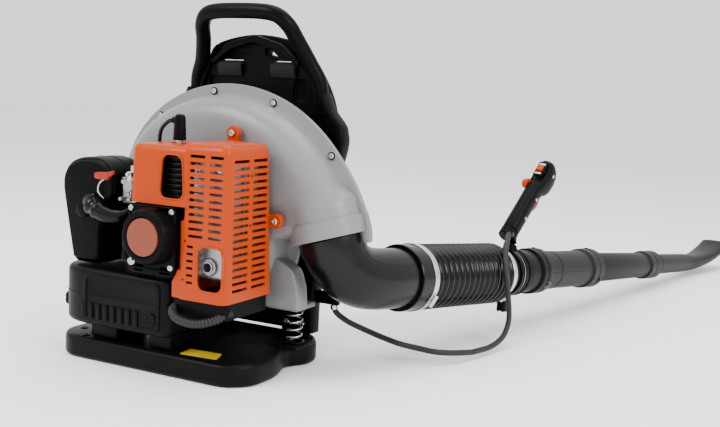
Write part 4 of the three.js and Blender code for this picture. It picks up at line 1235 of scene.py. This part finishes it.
def makeLowerShroud():
    shroud = block("lowerShroud", (52, -168, 80), (146, -60, 128), "black", 10, 5)
    combine(shroud, [block("cut", (0, -220, 60), (200, 0, 95), "black"),
                     block("cut", (0, -220, 116.6), (200, 0, 160), "black")], "DIFFERENCE")
    place(shroud, "machine", "lower_shroud")
    line = [Vector(p) for p in ((58, -150, 108), (60, -172, 101), (80, -185, 93), (108, -183, 90), (132, -172, 96),
                                (143, -150, 105))]
    place(folds("coolingSleeve", spline(line, 5), 6.5, 1.3, 4.6, 20, "sleeve", 6), "machine")


makeEngineCover()
makeLowerShroud()
print("engine cover ready")


# engine: cylinder, plug, muffler, starter
engine = {"cylinderX": 25, "cylinderY": -120, "finLow": 250, "finPitch": 7.6, "fins": 9}


def makeCylinder():
    x, y = engine["cylinderX"], engine["cylinderY"]
    barrel = rod("cylinderFinned", (x, y, 246), (x, y, 316), 27, "fins", sides=40, bevel=1)
    fins = []
    for k in range(engine["fins"]):
        z = engine["finLow"] + k * engine["finPitch"]
        fins.append(slab("fin", roundRect(x - 37, x + 37, y - 38, y + 38, 12), "z", z, z + 2.2, "fins", 0.5, 2))
    head = slab("head", roundRect(x - 20, x + 20, y - 20, y + 20, 8), "z", 308, 316, "fins", 1.5)
    combine(barrel, fins + [head])
    place(barrel, "machine", "cylinder")
    cap = turnedPiece("plugCap", [(334, 0), (334, 9.2), (337, 9.6), (340, 8.8), (343, 9.4), (346, 8.6), (349, 9.2),
                                  (352, 8.4), (364, 8.2), (369, 7), (371, 4), (371, 0)], Vector((x, y, 0)),
                      axisZ, "black", 36)
    boot = rod("boot", (x, y, 360), (x - 13, y, 362.5), 5.6, "black", 4.6, 24, 0.8)
    combine(cap, [boot])
    place(cap, "machine", "plug_cap")
    line = spline([(15.5, -120, 362), (2, -118, 359), (-18, -110, 342), (-28, -98, 300), (-34, -84, 262),
                   (-38, -78, 250.5)], 8)
    place(tubeAlong("ignitionLead", line, 3, "rubber", 16), "machine", "ignition_lead")
    coil = block("ignitionCoil", (-52, -88, 222), (-30, -66, 248), "black", 3)
    arm = block("arm", (-34, -82, 224), (-24.5, -74, 234), "zinc", 1)
    rib = block("rib", (-54, -84, 228), (-28, -70, 242), "black", 2)
    combine(coil, [arm, rib])
    place(coil, "machine", "ignition_coil")


def makeMuffler():
    shell = block("muffler", (76, -158, 146), (138, -78, 312), "cast", 9, 5)
    ribs = [block("rib", (80, -160, z), (134, -100, z + 6), "cast", 2.5) for z in (206, 226, 246, 266, 286)]
    seam = block("seam", (74.5, -119, 148), (139.5, -116, 310), "cast", 1)
    boss = rod("boss", (112, -150, 166), (112, -163, 166), 14, "cast", 12, 32, 1)
    pipe = turnedPiece("pipe", [(0, 6.6), (0, 9), (12, 9), (13, 8.4), (13, 6.6)], Vector((112, -152, 166)),
                       Vector((0, -1, 0)), "cast", 32)
    bore = rod("bore", (112, -140, 166), (112, -170, 166), 6.6, "cast", sides=28)
    combine(shell, ribs + [seam, boss, pipe])
    combine(shell, [bore], "DIFFERENCE")
    place(shell, "machine", "muffler")
    points = [(x, -158.4, z) for x, z in ((88, 154), (130, 192), (88, 192), (88, 300), (126, 300))]
    place(scatter("mufflerScrews", points, hexNut(3.6, 3), (0, -1, 0), "zinc"), "machine")


def makeStarter():
    x, z = crank.x, crank.z
    housing = slab("starterHousing", roundRect(-20, 62.5, 145, 245.5, 9), "y", -174, -150.5, "black", 3)
    drum = turnedPiece("drum", [(-172, 0), (-172, 42), (-178, 41.5), (-193, 39), (-197, 36.8), (-198, 34),
                                (-197.4, 29.5), (-195, 28), (-195, 0)], Vector((x, 0, z)), axisY,
                       "black", 72)
    ribs = [block("rib", (x + a, -176, z + b), (x + c, -172, z + d), "black", 1)
            for a, b, c, d in ((-40, -52, 36, -47), (-40, 40, 36, 43), (-44, -40, -41, 34))]
    room = slab("room", roundRect(-5, 55, 172, 232, 20), "y", -171, -149, "black")
    ropeWay = rod("ropeWay", (-30, -163, 175), (0, -163, 175), 3.4, "black", sides=16)
    combine(housing, [drum] + ribs)
    vents = [slab("vent", roundRect(x - 33, x - 16, zz, zz + 3.4, 1.6), "y", -190, -160, "black")
             for zz in (149, 155.5)]
    vents += [slab("vent", roundRect(x + 12, x + 33, zz, zz + 3.4, 1.6), "y", -190, -160, "black")
              for zz in (149, 155.5, 238)]
    combine(housing, [room, ropeWay] + vents, "DIFFERENCE")
    place(housing, "machine", "starter_housing")
    badge = turnedPiece("starterBadge", [(-194.9, 0), (-194.9, 26.6), (-198.6, 26.6), (-199.4, 25.8),
                                         (-199.5, 0)], Vector((x, 0, z)), axisY, "badge", 64)
    place(badge, "machine", "starter_badge")
    screws = [(57, -174, 238), (53, -174, 189), (57, -174, 160), (-14, -174, 162), (-14, -174, 238)]
    place(scatter("starterScrews", screws, screwHead(4.3, 3.4), (0, -1, 0), "zinc"), "machine")
    washer = turnedPiece("washer", [(-0.3, 2), (-0.3, 6.4), (0.6, 6.4), (1, 5.9), (1, 2)], originPoint,
                         axisZ, "zinc", 24)
    place(scatter("starterWashers", [(53, -174, 189), (-14, -174, 162)], washer, (0, -1, 0), "zinc"), "machine")
    handle = turnedPiece("starterHandle", [(160, 0), (160, 4.5), (162, 6.6), (168, 7), (172, 6), (175, 5.6),
                                           (178, 6), (182, 7), (188, 6.6), (190, 4.5), (190, 0)],
                         Vector((-32, -163, 0)), axisZ, "black", 32)
    place(handle, "pull", "starter_handle")
    ropeEnds = (-34, -163, 175), (-6.5, -163, 175)
    rope = rod("starterRope", *ropeEnds, 1.9, "black", sides=16)
    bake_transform(rope)


makeCylinder()
makeMuffler()
makeStarter()
print("engine ready")


# carburettor, air filter and choke
intake = {
    "case": [(-148, 142), (-160, 200), (-171, 257), (-169, 276), (-158, 291), (-138, 299), (-108, 301),
             (-88, 296), (-72, 280), (-70, 250), (-84, 236), (-96, 200), (-98, 142)],
    "caseRear": -148, "caseFront": -78,
}


def makeIntake():
    shape = roundOff(intake["case"], 9, 4)
    case = slab("airFilterCase", shape, "y", intake["caseRear"], intake["caseFront"], "black", 8, 5)
    lid = [(x * 0.94 - 7.2, z * 0.94 + 13.4) for x, z in shape]
    panel = slab("panel", lid, "y", intake["caseRear"] - 2.2, intake["caseRear"] + 6, "black", 3.4, 4)
    seam = slab("seam", [((x + 120) * 1.012 - 120, (z - 222) * 1.008 + 222) for x, z in shape], "y", -112, -109,
                "black", 0.8, 2)
    clips = [block("clip", (-173, -124, 236), (-166, -98, 250), "black", 2),
             block("clip", (-160, -124, 174), (-152, -98, 188), "black", 2)]
    ribs = [block("rib", (-160 + 7 * k, -150, 150), (-158 + 7 * k, -140, 158), "black", 0.5, 2)
            for k in range(2, 8)]
    combine(case, [panel, seam] + clips + ribs)
    place(case, "machine", "air_filter_case")
    knob = turnedPiece("filterKnob", [(-158.4, 0), (-158.4, 8), (-157, 10.5), (-151, 11), (-149, 9), (-149, 0)],
                       Vector((-124, 0, 222)), axisY, "black", 40)
    place(knob, "machine")
    bend = spline([Vector(p) for p in ((-113, -140, 236), (-104, -155, 232), (-88, -160, 225), (-70, -156, 218),
                                       (-56, -144, 219), (-50, -130, 226))], 8)
    ridges = 3.2
    boot = tubeAlong("intakeBoot", bend, lambda t: 15.5 - 5 * min(1, t * 1.3)
                     + (1.5 * math.cos(2 * math.pi * ridges * t / 0.42) if t < 0.42 else 0), "rubber", 36, 60)
    place(boot, "machine")
    body = block("carburettor", (-66, -136, 236), (-34, -104, 272), "cast", 2.6, 3)
    parts = [rod("bowl", (-50, -120, 225), (-50, -120, 238), 13, "cast", sides=36, bevel=2),
             rod("throat", (-36, -120, 254), (-5.5, -120, 254), 13, "cast", sides=36, bevel=1),
             slab("flange", roundRect(-136, -104, 238, 270, 6), "x", -33, -28, "cast", 1),
             rod("pump", (-50, -136, 262), (-50, -143, 262), 9, "cast", sides=28, bevel=1.2),
             rod("needle", (-58, -136, 244), (-58, -150, 244), 3, "cast", sides=16, bevel=0.6),
             rod("needle", (-44, -136, 244), (-44, -148, 244), 3, "cast", sides=16, bevel=0.6),
             rod("inlet", (-42, -120, 270), (-42, -120, 284), 3.4, "cast", sides=16, bevel=0.6),
             block("lug", (-64, -139, 268), (-36, -128, 275), "cast", 1.4),
             rod("shaft", (-50, -137, 250), (-50, -142.5, 250), 3.6, "cast", sides=20, bevel=0.6)]
    combine(body, parts)
    place(body, "machine", "carburettor")
    bracket = block("throttleBracket", (-35, -148, 206), (-26, -145.8, 292), "zinc", 0.8, 2)
    extra = [block("arm", (-40, -148, 284), (-10, -145.8, 294), "zinc", 0.8, 2),
             block("arm", (-46, -148, 206), (-26, -128, 209), "zinc", 0.8, 2),
             rod("pin", (-30, -150, 222), (-30, -128, 222), 2.6, "zinc", sides=16)]
    combine(bracket, extra)
    place(bracket, "machine")
    points = [(-30, -148.4, z) for z in (214, 238, 262, 286)] + [(-16, -148.4, 289), (-62, -136.4, 268)]
    place(scatter("bracketScrews", points, screwHead(3.4, 2.8), (0, -1, 0), "zinc"), "machine")
    lever = slab("throttleLever", roundOff([(-54, 246), (-46, 246), (-44.5, 262), (-46, 284), (-54, 284),
                                            (-55.5, 262)], 3), "y", -140.3, -138.3, "zinc", 0.6, 2)
    post = rod("post", (-50, -144.5, 280), (-50, -138.3, 280), 2.6, "zinc", sides=16)
    combine(lever, [post])
    place(lever, "throttle_body", "throttle_lever")
    blade = slab("chokeLever", roundOff([(-102, 271), (-102, 279.6), (-92, 281), (-78, 281.6), (-67, 284.6),
                                         (-65, 280), (-76, 272.6), (-90, 269.6)], 3), "y", -156, -150.6, "red", 1.3)
    hub = rod("hub", (-80, -149.2, 275.6), (-80, -157.5, 275.6), 6.2, "red", sides=28, bevel=1)
    combine(blade, [hub])
    place(blade, "choke_body", "choke_lever")
    link = spline([Vector(p) for p in ((-84, -152, 272), (-92, -155, 264), (-93, -156, 252), (-88, -150, 242))], 6)
    place(tubeAlong("chokeLink", link, 1.4, "zinc", 10), "machine")


makeIntake()
print("intake ready")


# fuel tank
tank = {
    "low": 55, "high": 140, "edge": 9, "ribs": 8, "ribStart": -104.5, "ribPitch": 14, "ribWidth": 7,
    "ribLow": 66, "ribHigh": 90,
}


def makeTank():
    curve = []
    for k in range(11):
        t = k / 10
        curve.append(((1 - t) ** 2 * -163 + 2 * t * (1 - t) * -160 + t * t * -110,
                      (1 - t) ** 2 * -124 + 2 * t * (1 - t) * -166 + t * t * -170))
    corner = [(38 + 12 * math.sin(math.radians(a)), -158 - 12 * math.cos(math.radians(a)))
              for a in range(0, 91, 15)]
    shape = [(-163, -64)] + curve + corner + [(50, -64)]
    body = slab("fuelTank", shape, "z", tank["low"], tank["high"], "charcoal", tank["edge"], 5)
    frameOuter = slab("border", roundRect(-106, 36, 61, 134, 11), "y", -172.4, -165, "charcoal", 1.6)
    frameInner = slab("field", roundRect(-100, 30, 67, 128, 8), "y", -180, -170.4, "charcoal", 1)
    combine(frameOuter, [frameInner], "DIFFERENCE")
    ribs = ladder(tank["ribs"], (tank["ribStart"], -170, (tank["ribLow"] + tank["ribHigh"]) / 2),
                  (tank["ribPitch"], 0, 0), (tank["ribWidth"], 5.6, tank["ribHigh"] - tank["ribLow"]), "charcoal")
    softenEdges(ribs, 1.2, 2, 40)
    seam = slab("seam", [((x + 56) * 1.008 - 56, (y + 117) * 1.008 - 117) for x, y in shape], "z", 99, 101.4,
                "charcoal", 0.8, 2)
    boss = turnedPiece("boss", [(-173.4, 0), (-173.4, 3), (-172.4, 4), (-172.4, 7), (-173, 8), (-172.6, 9),
                                (-168, 9), (-168, 0)], Vector((20, 0, 80)), axisY, "charcoal", 40)
    feet = [block("foot", (x0, -150, base["thick"] + 0.3), (x1, -80, 62), "charcoal", 3)
            for x0, x1 in ((-110, -60), (0, 40))]
    neck = rod("neck", (-156, -112, 76), (-172, -112, 76), 12.4, "charcoal", 11, 36, 1)
    combine(body, [frameOuter, ribs, seam, boss, neck] + feet)
    place(body, "machine", "fuel_tank")
    rings = []
    profile = [(3, 13.4), (4.5, 15), (20, 14.4), (22.6, 12.4), (23.6, 8)]
    for d, r in profile:
        ring = []
        for k in range(60):
            a = 2 * math.pi * k / 60
            grip6 = r - (1.5 * (0.5 + 0.5 * math.cos(6 * a)) if 3.5 < d < 23 else 0)
            ring.append(Vector((-164 - d, -112 + grip6 * math.cos(a), 76 + grip6 * math.sin(a))))
        rings.append(ring)
    cap = makeObject("fuelCap", *skin(rings), "black", 30)
    knob = block("bar", (-189, -115, 68), (-186, -109, 84), "black", 1)
    combine(cap, [knob])
    place(cap, "cap_body", "fuel_cap")
    line = spline([(-62, -100, 140.8), (-62, -98, 165), (-60, -96, 205), (-54, -99, 240), (-52, -100.9, 248)], 8)
    place(tubeAlong("fuelLine", line, 2.6, "rubber", 14), "machine", "fuel_line")


makeTank()
print("fuel tank ready")


# air side seen from the front: guard, impeller, nut, rubbers and cable bracket
airSide = {"blades": 12, "guardBars": 10, "rings": [(76, 86), (56, 60), (38, 42)]}


def makeAirSide():
    rings = [turnedPiece("ring", [(52.6, a), (52.6, b), (56.6, b), (57.2, b - 0.8), (57.2, a + 0.8), (56.6, a)],
                         Vector((crank.x, 0, crank.z)), axisY, "black", 72)
             for a, b in airSide["rings"]]
    hub = turnedPiece("hub", [(52.6, 0), (52.6, 13), (56, 14), (57.2, 12), (57.2, 0)],
                      Vector((crank.x, 0, crank.z)), axisY, "black", 40)
    bars = []
    for k in range(airSide["guardBars"]):
        angle = 2 * math.pi * k / airSide["guardBars"]
        out = Vector((math.cos(angle), 0, math.sin(angle)))
        bars.append(rod("bar", crank + out * 10 + Vector((0, 55, 0)), crank + out * 80 + Vector((0, 55, 0)), 1.8,
                        "black", sides=10))
    guard = combine(rings[0], rings[1:] + [hub] + bars)
    guard.name = "intakeGuard"
    place(guard, "machine", "intake_guard")
    wheel = turnedPiece("impellerWheel", [(-43, 10.6), (-43, 20), (-38, 22), (-38, 98), (-35, 98), (-34.6, 30),
                                          (-24, 22), (-16, 19), (-16, 10.6)], Vector((crank.x, 0, crank.z)),
                        axisY, "charcoal", 72)
    blades = []
    for k in range(airSide["blades"]):
        rows = []
        for j in range(7):
            t = j / 6
            radius = 54 + 43 * t
            angle = 2 * math.pi * k / airSide["blades"] - 0.42 * t
            middle = crank + Vector((math.cos(angle), 0, math.sin(angle))) * radius
            side = Vector((-math.sin(angle), 0, math.cos(angle))) * 1.2
            top = 22 - 5 * (1 - t)
            rows.append([middle + side + Vector((0, -36.4, 0)), middle + side + Vector((0, top, 0)),
                         middle - side + Vector((0, top, 0)), middle - side + Vector((0, -36.4, 0))])
        blades.append(makeObject("blade", *skin(rows), "charcoal"))
    combine(wheel, blades)
    place(wheel, "rotor", "impeller")
    nut = rod("fanNut", (crank.x, -15.7, crank.z), (crank.x, -6.4, crank.z), 13.8, "zinc", sides=6, bevel=1.2)
    washer = rod("washer", (crank.x, -15.7, crank.z), (crank.x, -13.6, crank.z), 15.8, "zinc", sides=40, bevel=0.5)
    combine(nut, [washer])
    place(nut, "rotor", "fan_nut")
    for side, name in ((-1, "Left"), (1, "Right")):
        middle = Vector((crank.x + side * 80, 0, 320))
        rubber = turnedPiece("isolatorRubber" + name, [(52.4, 0), (52.4, 12.6), (53.6, 13), (60, 11.2), (64, 11.2),
                                                       (71.4, 13), (72.7, 12.6), (72.7, 0)], middle,
                             axisY, "rubber", 40)
        place(rubber, "machine", "isolator_rubber_" + name.lower())
    bracket = block("cableBracket", (151.2, 64, 84.2), (192, 72.8, 104), "black", 2)
    place(bracket, "machine", "cable_bracket")
    ferrule = rod("cableFerrule", (182.2, 68, 84.6), (184.2, 69.2, 77), 5.6, "zinc", sides=28, bevel=0.8)
    place(ferrule, "machine")


makeAirSide()
print("air side ready")


# harness: pad, shoulder straps and buckles
harness = {
    "padRows": [(152, 62, 9), (166, 88, 17), (200, 99, 20), (240, 103, 21), (290, 104, 21), (340, 102, 21),
                (380, 94, 20), (410, 84, 17), (430, 64, 9)],
    "padFace": 88, "voxel": 5, "pressure": 4, "frames": 20, "swell": 7, "channels": [-46, 46],
    "strap": [(50, 99, 447), (54, 112, 446), (59, 128, 440), (72, 156, 384), (84, 163, 300), (95, 148, 220),
              (100, 123, 150)],
    "strapHalf": 4.6, "webbing": 12.5,
}


def makePadShape():
    rows = spline([Vector(r) for r in harness["padRows"]], 3)
    rings = []
    for z, half, thick in rows:
        ring = []
        for k in range(48):
            a = 2 * math.pi * k / 48
            c, s = math.cos(a), math.sin(a)
            scale = squareness(c, s, 4)
            ring.append(Vector((crank.x + c * scale * half, harness["padFace"] + (1 + s * scale) * thick / 2, z)))
        rings.append(ring)
    return makeObject("backPad", *skin(rings), "mesh", 60)


def swellPad(pad):
    remesh = pad.modifiers.new("remesh", "REMESH")
    remesh.mode = "VOXEL"
    remesh.voxel_size = harness["voxel"] * mm
    bake(pad, 80)
    rest = [v.co.copy() for v in pad.data.vertices]
    held = pad.vertex_groups.new(name="held")
    held.add([v.index for v in pad.data.vertices if v.co.y < (harness["padFace"] + 2.5) * mm], 1.0, "REPLACE")
    cloth = pad.modifiers.new("cloth", "CLOTH")
    cloth.settings.use_pressure = True
    cloth.settings.uniform_pressure_force = harness["pressure"]
    cloth.settings.effector_weights.gravity = 0
    cloth.settings.vertex_group_mass = "held"
    cloth.point_cache.frame_start = 1
    cloth.point_cache.frame_end = harness["frames"]
    for step in range(1, harness["frames"] + 1):
        scene.frame_set(step)
    bake(pad, 80)
    scene.frame_set(1)
    limit = harness["swell"] * mm
    for v, start in zip(pad.data.vertices, rest):
        move = v.co - start
        if move.length > limit:
            v.co = start + move.normalized() * limit


def makePad():
    pad = makePadShape()
    swellPad(pad)
    smooth = pad.modifiers.new("smooth", "SUBSURF")
    smooth.levels = smooth.render_levels = 1
    bake(pad, 80)
    for v in pad.data.vertices:                       # sewn channels pull the front face in
        x, y, z = (c / mm for c in v.co)
        front = max(0, min(1, (y - harness["padFace"] - 6) / 8))
        dip = sum(math.exp(-((x - crank.x - line) / 3.2) ** 2) for line in harness["channels"])
        if abs(x - crank.x) < 46:
            dip += sum(math.exp(-((z - row) / 3.2) ** 2) for row in (212, 286, 360))
        v.co.y -= 4.2 * min(1, dip) * front * mm
    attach(pad, "machine")
    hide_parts("back_pad")
    edge = spline([Vector(row) for row in harness["padRows"]], 4)
    loop = [Vector((crank.x + half + 0.6, harness["padFace"] + thick * 0.52, z)) for z, half, thick in edge]
    loop += [Vector((crank.x - half - 0.6, harness["padFace"] + thick * 0.52, z)) for z, half, thick in edge[::-1]]
    rings = []
    count = len(loop)
    for k, here in enumerate(loop):
        direction = (loop[(k + 1) % count] - loop[k - 1]).normalized()
        out = direction.cross(axisY).normalized()
        rings.append([here + (out * math.cos(a) + axisY * math.sin(a)) * 2.1
                      for a in (math.pi * j / 5 for j in range(10))])
    place(makeObject("padPiping", *skin(rings, True), "webbing", 60), "machine")


# the width direction and the face direction of a strap at one point of its line
def strapAxes(line, k):
    ahead, behind = line[min(k + 1, len(line) - 1)], line[max(k - 1, 0)]
    direction = (ahead - behind).normalized()
    across = (axisX - direction * direction.x).normalized()
    return across, direction.cross(across)


def strapRings(line, widths, half, power=4):
    rings = []
    for k, here in enumerate(line):
        across, normal = strapAxes(line, k)
        ring = []
        for j in range(28):
            a = 2 * math.pi * j / 28
            c, s = math.cos(a), math.sin(a)
            scale = squareness(c, s, power)
            ring.append(here + across * c * scale * widths[k] + normal * s * scale * half)
        rings.append(ring)
    return rings


def makeStrap(side, name):
    line = spline([Vector((crank.x + side * x, y, z)) for x, y, z in harness["strap"]], 8)
    count = len(line) - 1
    widths = [15 + 12.4 * math.sin(math.pi * min(1, 1.2 * k / count)) for k in range(count + 1)]
    widths = [max(w, 13) for w in widths]
    strap = makeObject("shoulderStrap" + name, *skin(strapRings(line, widths, harness["strapHalf"])), "mesh", 60)
    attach(strap, "machine")
    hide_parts("shoulder_strap_" + name.lower())
    band = strapRings(line, [harness["webbing"]] * len(line), 1.0)
    acrosses, outwards = zip(*(strapAxes(line, k) for k in range(len(line))))
    outwards = [-normal if normal.y < 0 else normal for normal in outwards]
    shifted = [[p + normal * (harness["strapHalf"] + 0.7) for p in ring] for ring, normal in zip(band, outwards)]
    place(makeObject("strapWebbing" + name, *skin(shifted), "webbing", 60), "machine")
    for edge in (-1, 1):
        stitches = [line[k] + acrosses[k] * edge * (harness["webbing"] - 1.6)
                    + outwards[k] * (harness["strapHalf"] + 1.7) for k in range(2, count - 1)]
        place(folds(f"strapStitch{name}{'A' if edge < 0 else 'B'}", stitches, 0.55, 0.35, 3.2, 6, "webbing", 4),
              "machine")
    top = spline([Vector((crank.x + side * 50, y, z)) for y, z in ((101, 446), (94, 449.6), (84, 450.2), (74, 450),
                                                                   (67, 447), (67, 438), (71, 430))], 4)
    place(makeObject("strapLoop" + name, *skin(strapRings(top, [22.5] * len(top), 2.6)), "webbing", 60), "machine")
    x = crank.x + side * 101
    buckle = slab("strapBuckle" + name, roundRect(x - 16, x + 16, 118, 142, 4), "y", 109, 118, "black", 1.6)
    bars = [slab("gap", roundRect(x - 12, x + 12, z, z + 5.4, 1.6), "y", 100, 130, "black") for z in (122, 132.6)]
    combine(buckle, bars, "DIFFERENCE")
    place(buckle, "machine", "strap_buckle_" + name.lower())
    tail = [Vector((crank.x + side * x, y, z)) for x, y, z in ((100, 124.5, 156), (101, 119.6, 143),
                                                              (101, 113.5, 131), (102, 107.4, 119),
                                                              (106, 99, 98), (109, 90.6, 78), (109, 89, 62))]
    tail = spline(tail, 5)
    place(makeObject("strapTail" + name, *skin(strapRings(tail, [harness["webbing"] - 1] * len(tail), 1.1)),
                     "webbing", 60), "machine")


makePad()
makeStrap(-1, "Left")
makeStrap(1, "Right")
print("harness ready")


# finishes for the plain nodes that stay
keptFinish = {
    "black_plastic": "black", "dark_plastic": "charcoal", "tube_plastic": "tube", "grey_plastic": "grey",
    "orange_plastic": "orange", "red_plastic": "red", "badge_plastic": "badge", "zinc_steel": "zinc",
    "cast_aluminium": "cast", "black_rubber": "rubber", "label_film": "label", "harness_fabric": "mesh",
}
nodeSlots = {row["node"]: row["material_slot"] for row in frame["record"]["subparts"]}
for nodeName, node in frame["nodes"].items():
    finish = "paper" if nodeName == "filter_element" else keptFinish[nodeSlots[nodeName]]
    node.data.materials.clear()
    node.data.materials.append(finishes[finish])
print("plain nodes finished")
